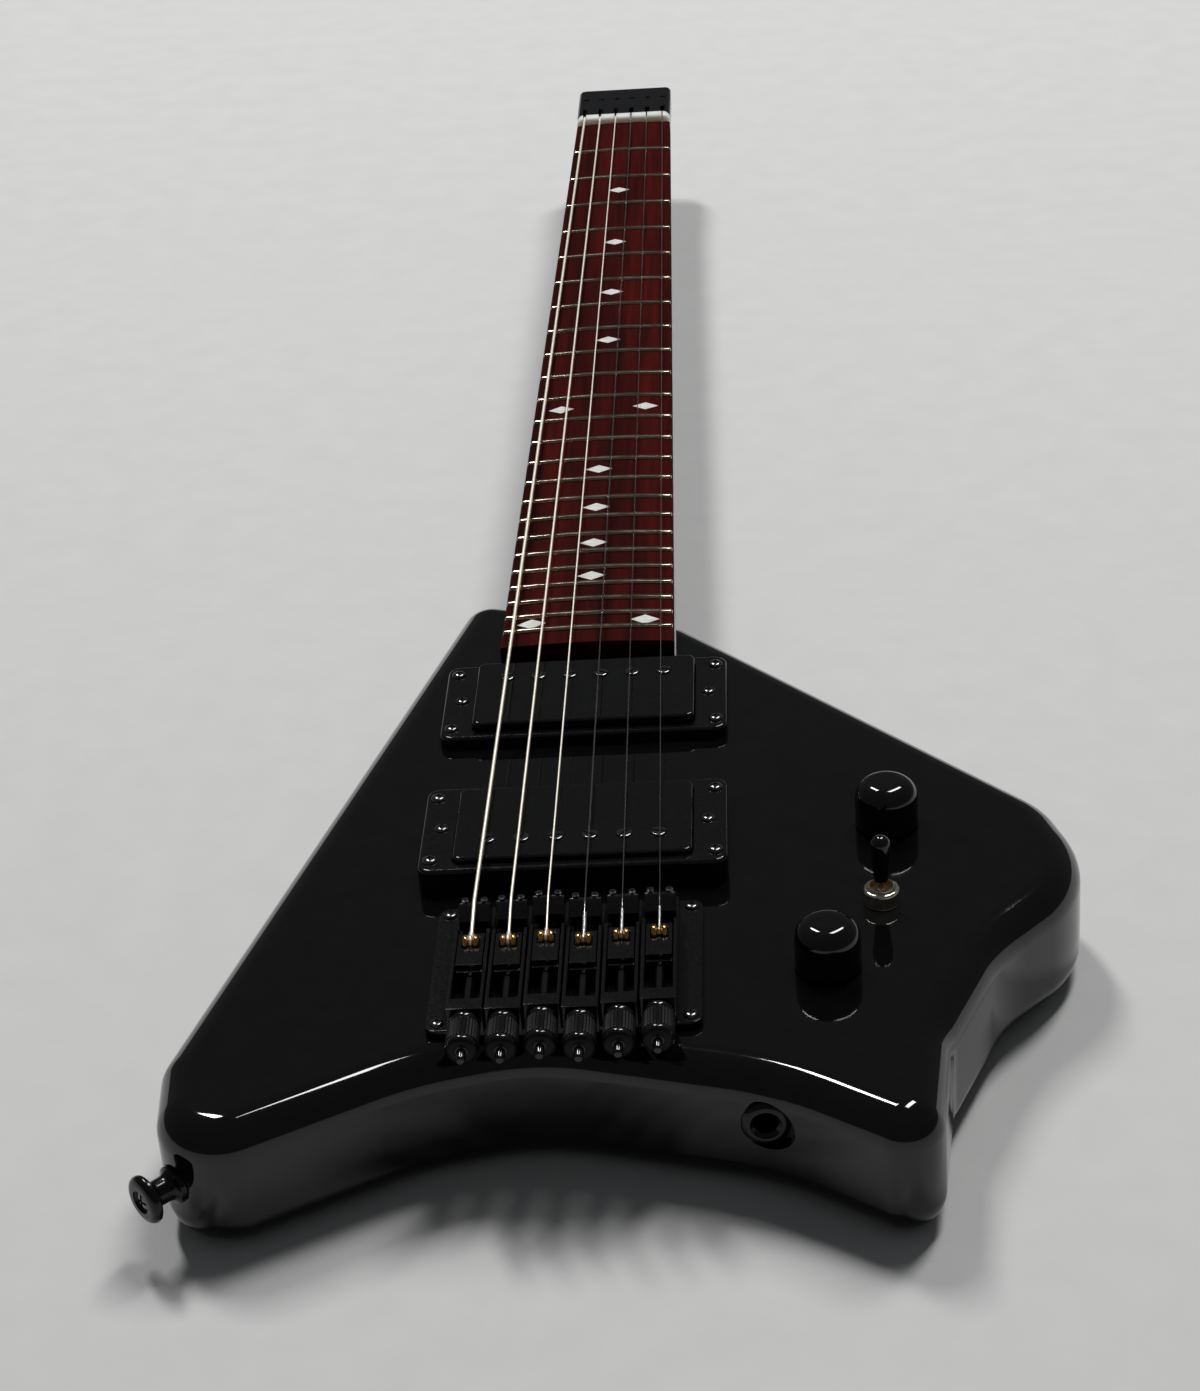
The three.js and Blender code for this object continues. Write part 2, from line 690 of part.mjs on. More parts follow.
// Strings: from the ball end over the saddle and the nut into the clamp
function wire(points, radius) {
  const sides = 6;
  return loft(points.map(([x, y, z]) => {
    const ring = [];
    for (let k = 0; k < sides; k += 1) {
      const angle = 2 * Math.PI * k / sides;
      ring.push(new THREE.Vector3(x + radius * Math.cos(angle), y, z + radius * Math.sin(angle)));
    }
    return ring;
  }), ({ x, z }) => new THREE.Vector2(x, z));
}
const clampTail = 6;

function ballEnd() {
  const half = ball.width / 2;
  return alongX(turned([
    [0, -half],
    [ball.radius, -half],
    [ball.radius, ball.flange - half],
    [ball.waistRadius, 0],
    [ball.radius, half - ball.flange],
    [ball.radius, half],
    [0, half],
  ], ball.sides));
}

stringPlaces.forEach(({ diameter, nutX, bridgeX, nutZ, saddleZ, crestY }, i) => {
  const line = wire([
    [bridgeX, crestY + ball.y, ballZ],
    [bridgeX, crestY, saddleZ],
    [nutX, scaleLength, nutZ],
    [nutX, scaleLength + nutThickness, nutZ],
    [nutX, clampStart + clamp.diveLength, clamp.stringZ],
    [nutX, headEnd - clampTail, clamp.stringZ],
  ], diameter / 2);
  const end = ballEnd().translate(bridgeX, crestY + ball.y, ballZ);
  place(`string_${i + 1}`, join([line, end]), i < strings / 2 ? 'nickel' : 'steel');
});

// Pickups
function roundedRectangle(width, length, rounding) {
  return roundedOutline([
    [-width / 2, -length / 2, rounding],
    [width / 2, -length / 2, rounding],
    [width / 2, length / 2, rounding],
    [-width / 2, length / 2, rounding],
  ], smallArcStep);
}
const ringPlan = roundedRectangle(pickup.ringWidth, pickup.ringLength, pickup.ringRounding);
const coverPlan = roundedRectangle(pickup.coverWidth, pickup.coverLength, pickup.coverRounding);
const poleSteps = stringPlaces.map((_, i) => i - (strings - 1) / 2);
const poleProfile = [
  [0, -poleScrew.length],
  [poleScrew.shankRadius, -poleScrew.length],
  [poleScrew.shankRadius, -pickup.wall / 2],
  [poleScrew.headRadius, -pickup.wall / 2],
  [poleScrew.shankRadius, poleScrew.crown],
  [0, poleScrew.crown],
];

// Mounting ring with the two height screws that hold the pickup's legs
function pickupRing(ringHeight, coverBottom) {
  const ringTop = bodyThickness + ringHeight;
  const blank = loft([
    level(ringPlan, 0, bodyThickness),
    level(ringPlan, 0, ringTop - pickup.ringBevel),
    level(ringPlan, -pickup.ringBevel, ringTop),
  ]);
  const window = prism(offsetPoints(coverPlan, clearance), ringHeight + 2 * overrun)
    .translate(0, 0, bodyThickness - overrun);
  const reach = ringTop - coverBottom + heightScrew.headHeight + 2 * pickup.baseThickness;
  const screws = [-1, 1].map((side) => (
    screw({ ...heightScrew, length: reach })
      .translate(side * pickup.heightScrewX, 0, ringTop + heightScrew.headHeight)
  ));
  return join([cut(blank, [window]), ...screws]);
}

// Cover shell, open below, with its row of pole screws
function pickupCover(coverTop, coverBottom, poleSide) {
  const shell = loft([
    level(coverPlan, 0, coverBottom),
    level(coverPlan, 0, coverTop - pickup.coverBevel),
    level(coverPlan, -pickup.coverBevel, coverTop),
  ]);
  const hollow = prism(offsetPoints(coverPlan, -pickup.wall), pickup.coverHeight - pickup.wall + overrun)
    .translate(0, 0, coverBottom - overrun);
  const poles = poleSteps.map((step) => turned(poleProfile, poleScrew.sides)
    .translate(step * pickup.poleSpacing, poleSide * pickup.poleRow, coverTop));
  return join([cut(shell, [hollow]), ...poles]);
}

// Base plate with its legs, and two wound coils side by side, slotted for the poles
function pickupCoils(coverBottom) {
  const plan = roundedRectangle(
    pickup.coverWidth - 4 * pickup.wall,
    pickup.coilLength,
    pickup.coilLength / 2 - fineClearance,
  );
  const slot = box(pickup.poleSpacing * strings, pickup.coilSlot, pickup.coilHeight + overrun);
  const windings = [-1, 1].map((side) => cut(
    prism(offsetPoints(plan, 0), pickup.coilHeight + pickup.baseThickness),
    [slot.clone().translate(0, 0, pickup.baseThickness)],
  ).translate(0, side * pickup.poleRow, 0));
  const legHoles = [-1, 1].map((side) => (
    drill(heightScrew.shankRadius, bodyThickness, heightScrew.sides)
      .translate(side * pickup.heightScrewX, 0, -overrun)
  ));
  return cut(join([
    box(pickup.coverWidth, pickup.coverLength, pickup.baseThickness),
    box(2 * (pickup.heightScrewX + pickup.legBeyondScrew), pickup.legLength, pickup.baseThickness),
    ...windings,
  ]), legHoles).translate(0, 0, coverBottom - pickup.baseThickness);
}

pickupPlaces.forEach(({ name, y, ringHeight, drop, poleSide }) => {
  const coverTop = boardTop - drop;
  const coverBottom = coverTop - pickup.coverHeight;
  const unit = new THREE.Group();
  unit.position.y = y;
  guitar.add(unit);
  place(`pickup_ring_${name}`, pickupRing(ringHeight, coverBottom), 'blackPlastic', unit);
  place(`pickup_cover_${name}`, pickupCover(coverTop, coverBottom, poleSide), 'blackLacquer', unit);
  place(`pickup_coils_${name}`, pickupCoils(coverBottom), 'copperWire', unit);
});

// Bridge plate, face to face with the top
const plateOutline = roundedOutline([
  [-plate.halfWidth, plate.rear, plate.rounding],
  [plate.halfWidth, plate.rear, plate.rounding],
  [plate.halfWidth, plateFront, plate.rounding],
  [-plate.halfWidth, plateFront, plate.rounding],
], smallArcStep);
const bridgePlate = prism(offsetPoints(plateOutline, 0), plate.thickness).translate(0, 0, bodyThickness);
place('bridge_plate', bridgePlate, 'blackMetal');

// One string block, slotted for its lock screw; saddle, carriage and tuning knob sit in it
function stringBlock() {
  const span = block.front - block.rear;
  const middle = (block.front + block.rear) / 2;
  const floor = box(block.width, span, block.floorThickness).translate(0, middle, plateTop);
  const wallLength = block.wallFront - block.rear;
  const channel = box(block.width, wallLength, block.wallHeight)
    .translate(0, block.rear + wallLength / 2, blockFloor);
  const inside = box(block.width - 2 * block.wallThickness, wallLength, block.wallHeight + overrun)
    .translate(0, block.rear + block.rearThickness + wallLength / 2, blockFloor);
  const slope = block.rearRounding;
  const frontRelief = prism([
    new THREE.Vector2(block.wallFront + overrun, blockTop - 2 * slope),
    new THREE.Vector2(block.wallFront + overrun, blockTop + overrun),
    new THREE.Vector2(block.wallFront - 2 * slope, blockTop + overrun),
    new THREE.Vector2(block.wallFront - 2 * slope, blockTop),
    new THREE.Vector2(block.wallFront, blockTop - 2 * slope),
  ], block.width + 2 * overrun)
    .rotateY(Math.PI / 2)
    .rotateX(Math.PI / 2)
    .translate(-block.width / 2 - overrun, 0, 0);
  const bore = alongY(post(threadRadius + clearance, block.rearThickness + 2 * overrun, ball.sides))
    .translate(0, block.rear - overrun, threadZ);
  const slot = box(lockSlot.width, lockSlot.length, block.floorThickness + 2 * overrun)
    .translate(0, lockSlot.y, plateTop - overrun);
  return cut(join([floor, channel]), [inside, frontRelief, bore, slot]);
}

// Saddle standing on its two height screws
function saddleBlock(crestZ) {
  const crest = saddle.height;
  const side = prism([
    new THREE.Vector2(saddle.rear, 0),
    new THREE.Vector2(saddle.front, 0),
    new THREE.Vector2(saddle.front, crest - saddle.shoulder),
    new THREE.Vector2(saddle.nose, crest - saddle.drop),
    new THREE.Vector2(0, crest),
    new THREE.Vector2(-saddle.nose, crest - saddle.drop),
    new THREE.Vector2(saddle.rear, crest - saddle.shoulder),
  ], saddle.width).rotateY(Math.PI / 2).rotateX(Math.PI / 2).translate(-saddle.width / 2, 0, -crest);
  const legs = [-1, 1].map((sideX) => (
    post(saddleScrew.radius, crestZ + saddleScrew.rise - blockFloor - fineClearance, saddleScrew.sides)
      .translate(sideX * saddleScrew.spread, saddleScrew.y, blockFloor + fineClearance - crestZ)
  ));
  return join([side, ...legs]).translate(0, 0, crestZ);
}

function carriageBlock() {
  const width = block.width - 2 * block.wallThickness - 2 * clearance;
  const length = carriage.front - carriage.rear;
  const bottom = blockFloor + clearance;
  const height = ballZ - bottom;
  const blank = box(width, length, height)
    .translate(0, (carriage.front + carriage.rear) / 2, bottom);
  const pocketHalf = ball.radius + carriage.pocketGap;
  const pocket = box(ball.width + 2 * carriage.pocketGap, 2 * pocketHalf, height)
    .translate(0, 0, ballZ - pocketHalf);
  const stringSlot = box(stringDiameters[0] + 2 * clearance, carriage.front + overrun, height)
    .translate(0, (carriage.front + overrun) / 2, ballZ - stringDiameters[0]);
  const bore = alongY(post(threadRadius + clearance, length + 2 * overrun, ball.sides))
    .translate(0, carriage.rear - overrun, threadZ);
  const tailStep = box(width + overrun, carriage.tail * 2, height)
    .translate(0, carriage.rear, ballZ - carriage.tail);
  return cut(blank, [pocket, stringSlot, bore, tailStep]);
}

function tuningKnob() {
  const profile = [
    [knob.radius - knob.chamfer, knobFront],
    [knob.radius, knobFront - knob.chamfer],
    [knob.radius, knobFront - knob.length + knob.chamfer],
    [knob.radius - knob.chamfer, knobFront - knob.length],
    [knob.radius - 3 * knob.chamfer, knobFront - knob.length - knob.crown],
  ];
  const points = 2 * knob.flutes;
  const rings = profile.map(([radius, y]) => {
    const ring = [];
    for (let k = 0; k < points; k += 1) {
      const angle = 2 * Math.PI * k / points;
      const reach = radius * (k % 2 ? knob.fluteShare : 1);
      ring.push(new THREE.Vector3(reach * Math.cos(angle), y, threadZ + reach * Math.sin(angle)));
    }
    return ring;
  });
  const grip = loft(rings, ({ x, z }) => new THREE.Vector2(x, z));
  const threadEnd = ball.y - threadBeyondBall;
  const thread = alongY(post(threadRadius, threadEnd - knobFront + knob.chamfer, ball.sides))
    .translate(0, knobFront - knob.chamfer, threadZ);
  return join([grip, thread]);
}

stringPlaces.forEach(({ diameter, bridgeX, saddleZ, crestY }, i) => {
  const unit = new THREE.Group();
  unit.position.set(bridgeX, crestY, 0);
  guitar.add(unit);
  const crestZ = saddleZ - diameter / 2 - fineClearance;
  place(`string_block_${i + 1}`, stringBlock(), 'blackMetal', unit);
  place(`saddle_${i + 1}`, saddleBlock(crestZ), 'blackMetal', unit);
  place(`carriage_${i + 1}`, carriageBlock(), 'blackMetal', unit).position.y = ball.y;
  place(`tuner_knob_${i + 1}`, tuningKnob(), 'blackMetal', unit);
});

// Volume and tone: pot under the top, nut on it, domed knob with the pot's shaft inside
const nutSides = 6;
const pot = { radius: 8.4, height: 8.5, nutRadius: 6.2, nutHeight: 2, shaftRadius: 3 };
const dome = { radius: 9.25, height: 15, lift: 0.5, wall: 2, rounding: 5.5, sides: 18, pocket: 4.2 };

function domedKnob() {
  const steps = 3;
  const profile = [[0, dome.lift], [dome.radius, dome.lift]];
  for (let k = 0; k <= steps; k += 1) {
    const angle = (Math.PI / 2) * (k / steps);
    profile.push([
      dome.radius - dome.rounding * (1 - Math.cos(angle)),
      dome.height - dome.rounding * (1 - Math.sin(angle)),
    ]);
  }
  profile.push([0, dome.height]);
  const hollow = post(dome.radius - dome.wall, dome.pocket, dome.sides);
  const shaft = post(pot.shaftRadius, dome.pocket + overrun, bushing.sides);
  return join([cut(turned(profile, dome.sides), [hollow]), shaft]).translate(0, 0, bodyThickness);
}

function potUnit() {
  const bushingHeight = bodyThickness + pot.nutHeight - cavity.ceiling;
  const can = post(pot.radius, pot.height, bushing.sides).translate(0, 0, -pot.height - clearance);
  const neck = post(bushing.radius, bushingHeight + overrun, bushing.sides).translate(0, 0, -overrun);
  const hex = post(pot.nutRadius, pot.nutHeight - clearance, nutSides)
    .translate(0, 0, bodyThickness - cavity.ceiling + clearance / 2);
  const room = post(pot.shaftRadius + clearance, bodyThickness, bushing.sides)
    .translate(0, 0, bodyThickness - cavity.ceiling - pot.nutHeight);
  return cut(join([can, neck, hex]), [room]).translate(0, 0, cavity.ceiling);
}

for (const [name, { x, y }] of [['volume', volumePlace], ['tone', tonePlace]]) {
  const unit = new THREE.Group();
  unit.position.set(x, y, 0);
  guitar.add(unit);
  place(`${name}_pot`, potUnit(), 'steel', unit);
  place(`${name}_knob`, domedKnob(), 'blackPlastic', unit);
}

// Toggle switch: frame under the top, round nut, and a lever with a black tip
const toggle = {
  frameWidth: 14,
  frameLength: 30,
  frameHeight: 12,
  nutRadius: 6,
  nutHeight: 3.2,
  nutBevel: 0.9,
  throatRadius: 2.9,
  pivotDepth: 4,
  rodRadius: 1.1,
  tipFootRise: 7,
  tipRise: 22,
  tipRadius: 2.9,
  tipFootRadius: 2,
  sides: 14,
};
const pivotZ = bodyThickness - toggle.pivotDepth;
const tipFootZ = bodyThickness + toggle.tipFootRise;
const tipTopZ = bodyThickness + toggle.tipRise;
const throat = turned([
  [0, pivotZ - 2 * clearance],
  [toggle.rodRadius + clearance, pivotZ - 2 * clearance],
  [toggle.rodRadius + clearance, pivotZ],
  [toggle.throatRadius, bodyThickness + toggle.nutHeight],
  [toggle.throatRadius, bodyThickness + toggle.nutHeight + overrun],
  [0, bodyThickness + toggle.nutHeight + overrun],
], toggle.sides);
const switchFrame = join([
  box(toggle.frameWidth, toggle.frameLength, toggle.frameHeight)
    .translate(0, 0, cavity.ceiling - clearance - toggle.frameHeight),
  post(bushing.radius, bodyThickness + toggle.nutHeight - cavity.ceiling + overrun, bushing.sides)
    .translate(0, 0, cavity.ceiling - overrun),
]);
place('switch_body', cut(switchFrame, [throat]), 'steel').position.set(switchPlace.x, switchPlace.y, 0);
const roundNut = turned([
  [0, 0],
  [toggle.nutRadius, 0],
  [toggle.nutRadius, toggle.nutHeight - toggle.nutBevel],
  [toggle.nutRadius - toggle.nutBevel, toggle.nutHeight],
  [0, toggle.nutHeight],
], toggle.sides);
place('switch_nut', cut(roundNut, [
  post(bushing.radius + fineClearance, bodyThickness, bushing.sides).translate(0, 0, -overrun),
]), 'chrome').position.set(switchPlace.x, switchPlace.y, bodyThickness);
place('switch_lever', turned([
  [0, pivotZ],
  [toggle.rodRadius, pivotZ],
  [toggle.rodRadius, tipFootZ],
  [toggle.tipFootRadius, tipFootZ],
  [toggle.tipRadius, tipTopZ - 2 * toggle.tipRadius],
  [toggle.tipRadius, tipTopZ - toggle.tipRadius],
  [toggle.tipFootRadius, tipTopZ - toggle.rodRadius],
  [0, tipTopZ],
], toggle.sides), 'blackPlastic').position.set(switchPlace.x, switchPlace.y, 0);

// Output jack: flange in its seat, barrel through to the cavity
const jackBlank = alongY(turned([
  [0, -jack.flangeDepth],
  [jack.flangeRadius, -jack.flangeDepth],
  [jack.flangeRadius, 0],
  [jack.barrelRadius, 0],
  [jack.barrelRadius, jack.barrelLength],
  [0, jack.barrelLength],
], jack.sides));
const plugBore = alongY(post(jack.boreRadius, jack.boreLength, jack.sides));
place('output_jack', cut(jackBlank, [plugBore.translate(0, -jack.flangeDepth - overrun, 0)]), 'blackMetal')
  .position.set(jackPlace.x, jackPlace.y, jack.z);

// Strap buttons, each with its screw
const buttonProfile = [
  [0, 0],
  [strapButton.flangeRadius, 0],
  [strapButton.flangeRadius, strapButton.flangeHeight],
  [strapButton.waistRadius, strapButton.flangeHeight * 2],
  [strapButton.waistRadius, strapButton.waistHeight],
  [strapButton.headRadius, strapButton.waistHeight + strapButton.flangeHeight],
  [strapButton.headRadius, strapButton.height - strapButton.flangeHeight],
  [strapButton.flangeRadius, strapButton.height],
  [0, strapButton.height],
];
for (const strap of strapPlaces) {
  const button = join([
    turned(buttonProfile, strapButton.sides),
    countersunk(strapScrew).translate(0, 0, strapButton.flangeHeight),
  ]);
  place(strap.name, faceOutward(button, strap, clearance - strapButton.spotDepth), 'blackMetal');
}

// Rear cover, flush with the back
const coverPlate = prism(offsetPoints(cavityOutline, cavity.rebate - clearance), coverThickness);
place('rear_cover', coverPlate, 'blackPlastic');

export default guitar;
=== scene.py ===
import math

import bmesh
import bpy
from mathutils import Matrix, Vector


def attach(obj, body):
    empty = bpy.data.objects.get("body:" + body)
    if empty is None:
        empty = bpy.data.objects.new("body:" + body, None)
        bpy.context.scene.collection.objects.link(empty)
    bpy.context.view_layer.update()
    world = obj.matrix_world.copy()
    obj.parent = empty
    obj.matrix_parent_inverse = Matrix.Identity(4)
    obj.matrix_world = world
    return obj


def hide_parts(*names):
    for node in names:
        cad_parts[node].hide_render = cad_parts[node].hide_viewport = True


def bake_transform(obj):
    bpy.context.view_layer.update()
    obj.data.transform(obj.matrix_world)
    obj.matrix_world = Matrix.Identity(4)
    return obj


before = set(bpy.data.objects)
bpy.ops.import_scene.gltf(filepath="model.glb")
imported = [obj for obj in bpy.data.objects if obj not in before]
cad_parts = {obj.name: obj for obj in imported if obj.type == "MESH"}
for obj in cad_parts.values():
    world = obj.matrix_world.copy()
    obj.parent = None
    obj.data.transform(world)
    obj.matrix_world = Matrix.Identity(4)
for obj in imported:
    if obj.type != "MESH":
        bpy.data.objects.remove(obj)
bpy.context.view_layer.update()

# The room: a wide pale matt floor that the guitar lies on, back down, under two tall soft
# lamps that stand beyond its head. The camera stands low behind the tail, as in the
# photograph, and sees only the floor behind the guitar.
lens_mm, film_width_mm, farthest_view = 79.47, 36, 60
camera_place = (0.0637, -0.7158, 0.5288)
camera_right = (0.99721, 0.030696, -0.067912)
camera_down = (-0.043501, -0.500158, -0.864847)
camera_ahead = (-0.060514, 0.86539, -0.49743)
view = bpy.data.objects.new("photo_camera", bpy.data.cameras.new("photo_camera"))
view.data.lens = lens_mm
view.data.sensor_width = film_width_mm
view.data.clip_end = farthest_view
camera_turn = Matrix((camera_right, camera_down, camera_ahead)).transposed() @ Matrix.Diagonal((1, -1, -1))
view.matrix_world = Matrix.Translation(camera_place) @ camera_turn.to_4x4()
bpy.context.scene.collection.objects.link(view)
bpy.context.scene.camera = view
bpy.context.scene.view_settings.view_transform = "Standard"

floor_squares, floor_reach, floor_drop = 8, 9, 0.0002
floor_form = bmesh.new()
bmesh.ops.create_grid(floor_form, x_segments=floor_squares, y_segments=floor_squares, size=floor_reach)
floor_mesh = bpy.data.meshes.new("studio_floor")
floor_form.to_mesh(floor_mesh)
floor_form.free()
floor = bpy.data.objects.new("studio_floor", floor_mesh)
floor.location.z = -floor_drop
bpy.context.scene.collection.objects.link(floor)


def finish(name, low, high, rough, grain=900.0, stretch=(1, 1, 1), relief=0.0, **sockets):
    """A finish whose colour and roughness drift between two values over a fine grain."""
    drift_low, drift_high, layers = 0.3, 0.7, 5
    look = bpy.data.materials.new(name)
    look.use_nodes = True
    tree = look.node_tree
    shader = tree.nodes["Principled BSDF"]
    for socket, value in sockets.items():
        shader.inputs[socket.replace("_", " ")].default_value = value
    place = tree.nodes.new("ShaderNodeTexCoord")
    scale = tree.nodes.new("ShaderNodeMapping")
    scale.inputs["Scale"].default_value = stretch
    tree.links.new(place.outputs["Object"], scale.inputs["Vector"])
    drift = tree.nodes.new("ShaderNodeTexNoise")
    drift.inputs["Scale"].default_value = grain
    drift.inputs["Detail"].default_value = layers
    tree.links.new(scale.outputs["Vector"], drift.inputs["Vector"])
    tint = tree.nodes.new("ShaderNodeValToRGB")
    tint.color_ramp.elements[0].position = drift_low
    tint.color_ramp.elements[0].color = (*low, 1)
    tint.color_ramp.elements[1].position = drift_high
    tint.color_ramp.elements[1].color = (*high, 1)
    tree.links.new(drift.outputs["Fac"], tint.inputs["Fac"])
    tree.links.new(tint.outputs["Color"], shader.inputs["Base Color"])
    gloss = tree.nodes.new("ShaderNodeMapRange")
    gloss.inputs["From Min"].default_value = drift_low
    gloss.inputs["From Max"].default_value = drift_high
    gloss.inputs["To Min"].default_value = rough[0]
    gloss.inputs["To Max"].default_value = rough[1]
    tree.links.new(drift.outputs["Fac"], gloss.inputs["Value"])
    tree.links.new(gloss.outputs["Result"], shader.inputs["Roughness"])
    if relief:
        bump = tree.nodes.new("ShaderNodeBump")
        bump.inputs["Distance"].default_value = relief
        tree.links.new(drift.outputs["Fac"], bump.inputs["Height"])
        tree.links.new(bump.outputs["Normal"], shader.inputs["Normal"])
    return look


pale_floor = finish("pale_floor", (0.66, 0.66, 0.65), (0.69, 0.69, 0.68), (0.85, 0.95), grain=60)
floor_mesh.materials.append(pale_floor)
lamps_aim = Vector((0.02, 0.1, 0.04))


def lamp(name, place, width, height, watts):
    """A soft rectangular lamp that faces the guitar."""
    light = bpy.data.lights.new(name, "AREA")
    light.shape = "RECTANGLE"
    light.size = width
    light.size_y = height
    light.energy = watts
    holder = bpy.data.objects.new(name, light)
    holder.location = place
    holder.rotation_euler = (lamps_aim - holder.location).to_track_quat("-Z", "Y").to_euler()
    bpy.context.scene.collection.objects.link(holder)


lamp("left_lamp", (-0.82, 1.86, 2.93), width=0.32, height=0.98, watts=49)
lamp("right_lamp", (0.96, 1.57, 3.38), width=0.55, height=1.82, watts=71)

room_tint, room_strength = (0.92, 0.95, 1, 1), 0.08
room = bpy.data.worlds.new("studio_room")
room.use_nodes = True
room.node_tree.nodes["Background"].inputs["Color"].default_value = room_tint
room.node_tree.nodes["Background"].inputs["Strength"].default_value = room_strength
bpy.context.scene.world = room


# Body: one slab of timber, 40 mm thick, cut to a plan with two horns round a notched tail,
# rounded 10 mm all round on top and on the back, then pocketed for neck, pickups and controls
# and sprayed in black gloss lacquer. All the plan's lengths are the solid's.
MM = 0.001
body_width, body_end, tail, thickness = 252.0, 188.9, 91.0, 40.0
top_rounding, back_rounding, rounding_steps = 10.0, 10.0, 8
gap, over = 0.3, 1.0
body_corner_shares = (
    (-0.1673, 1.098, 0), (-0.4376, -0.5578, 0.028), (-0.4218, -1.0738, 0.03), (-0.155, -0.6494, 0.275),
    (-0.032, -0.5638, 0.158), (0.216, -0.755, 0.275), (0.39, -1.092, 0.002), (0.4135, -0.5395, 0.077),
    (0.482, -0.0879, 0.2), (0.6026, 0.136, 0.119), (0.5572, 0.33, 0.087), (0.128, 0.9684, 0),
)


def on_body(across, along):
    """A place on the body from shares of its width and of its length to end or tail."""
    return across * body_width, along * (body_end if along > 0 else tail)


def rounded(corners, step):
    """Outline with rounded corners (x, y, radius): points, each with its outward direction."""
    outline = []
    for i, (x, y, radius) in enumerate(corners):
        corner = Vector((x, y))
        to_back = (Vector(corners[i - 1][:2]) - corner).normalized()
        to_forth = (Vector(corners[(i + 1) % len(corners)][:2]) - corner).normalized()
        half = math.acos(max(-1, min(1, to_back.dot(to_forth)))) / 2
        centre = corner + (to_back + to_forth).normalized() * radius / math.sin(half)
        start = corner + to_back * radius / math.tan(half) - centre
        end = corner + to_forth * radius / math.tan(half) - centre
        bend = math.atan2(start.x * end.y - start.y * end.x, start.dot(end))
        steps = max(1, round(abs(math.degrees(bend)) / step))
        for k in range(steps + 1):
            arm = Matrix.Rotation(bend * k / steps, 2) @ start
            outline.append((centre + arm, arm.normalized() * math.copysign(1, bend)))
    return outline


def level(outline, height, inset=0.0):
    """The outline, drawn in by an inset, as points at one height."""
    return [(*(point - out * inset), height) for point, out in outline]


def rounding(radius, steps):
    """How far a rounded edge lies below its top and inside its side, from the side to the top."""
    angles = [math.pi / 2 * k / steps for k in range(steps + 1)]
    return [(radius * (1 - math.sin(a)), radius * (1 - math.cos(a))) for a in angles]


def skin(rings):
    """Closed form over rings of equal counts, in millimetres, with flat ends."""
    form = bmesh.new()
    rows = [[form.verts.new(Vector(point) * MM) for point in ring] for ring in rings]
    for lower, upper in zip(rows, rows[1:]):
        for i in range(len(lower)):
            j = (i + 1) % len(lower)
            form.faces.new((lower[i], lower[j], upper[j], upper[i]))
    form.faces.new(rows[0])
    form.faces.new(rows[-1])
    bmesh.ops.recalc_face_normals(form, faces=form.faces)
    return form


def slab(outline, low, high, edge=0.0, inset=0.0, steps=3):
    """Plate from an outline, its upper edge rounded over."""
    rings = [level(outline, low, inset)]
    if not edge:
        return skin(rings + [level(outline, high, inset)])
    return skin(rings + [level(outline, high - drop, inset + draw) for drop, draw in rounding(edge, steps)])


def around(sides):
    """Angles spaced evenly round a circle."""
    return [2 * math.pi * k / sides for k in range(sides)]


def lathe(profile, sides=48):
    """Closed form turned about Z from (radius, height) pairs."""
    return skin([[(r * math.cos(a), r * math.sin(a), h) for a in around(sides)] for r, h in profile])


def rod(radius, low, high, sides=32):
    return lathe([(radius, low), (radius, high)], sides)


def brick(low, high):
    (x, y, z), (u, v, w) = low, high
    return skin([[(x, y, h), (u, y, h), (u, v, h), (x, v, h)] for h in (z, w)])


def moved(form, x=0.0, y=0.0, z=0.0, turn=None):
    """The form turned, then moved, in millimetres."""
    place = Matrix.Translation(Vector((x, y, z)) * MM) @ (turn.to_4x4() if turn else Matrix())
    bmesh.ops.transform(form, matrix=place, verts=form.verts)
    return form


along_y = Matrix.Rotation(-math.pi / 2, 3, "X")
along_x = Matrix.Rotation(math.pi / 2, 3, "Y")


def carve(form, tools):
    """Cuts closed forms out of a form."""
    held = []
    tray = bpy.data.collections.new("cutters")
    bpy.context.scene.collection.children.link(tray)
    for shape in (form, *tools):
        mesh = bpy.data.meshes.new("blank")
        shape.to_mesh(mesh)
        shape.free()
        held.append(bpy.data.objects.new("blank", mesh))
        (tray if len(held) > 1 else bpy.context.scene.collection).objects.link(held[-1])
    saw = held[0].modifiers.new("saw", "BOOLEAN")
    saw.operand_type = "COLLECTION"
    saw.collection = tray
    saw.solver = "EXACT"
    cut = held[0].evaluated_get(bpy.context.evaluated_depsgraph_get()).to_mesh()
    made = bmesh.new()
    made.from_mesh(cut)
    for blank in held:
        bpy.data.objects.remove(blank)
    bpy.data.collections.remove(tray)
    bmesh.ops.remove_doubles(made, verts=made.verts, dist=1e-7)
    return made


def even_light(piece):
    """Shades a piece by its larger faces, so that broken edges don't darken flat ones."""
    shade = piece.modifiers.new("even_shading", "WEIGHTED_NORMAL")
    shade.keep_sharp = True
    shade.weight = 80


def make(name, form, look, body="root", stands_for=(), crease=32.0):
    """Turns a form into a piece of the guitar that rides on one of its bodies."""
    for face in form.faces:
        face.smooth = True
    for edge in form.edges:
        edge.smooth = len(edge.link_faces) == 2 and edge.calc_face_angle(0) < math.radians(crease)
    mesh = bpy.data.meshes.new(name)
    form.to_mesh(mesh)
    form.free()
    mesh.materials.append(look)
    piece = bpy.data.objects.new(name, mesh)
    bpy.context.scene.collection.objects.link(piece)
    even_light(piece)
    if body:
        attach(piece, body)
    if stands_for:
        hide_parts(*stands_for)
    return piece


black_lacquer = finish("black_lacquer", (0.0022, 0.0022, 0.0024), (0.0034, 0.0033, 0.0034), (0.035, 0.06),
                       grain=140, relief=0.000004)

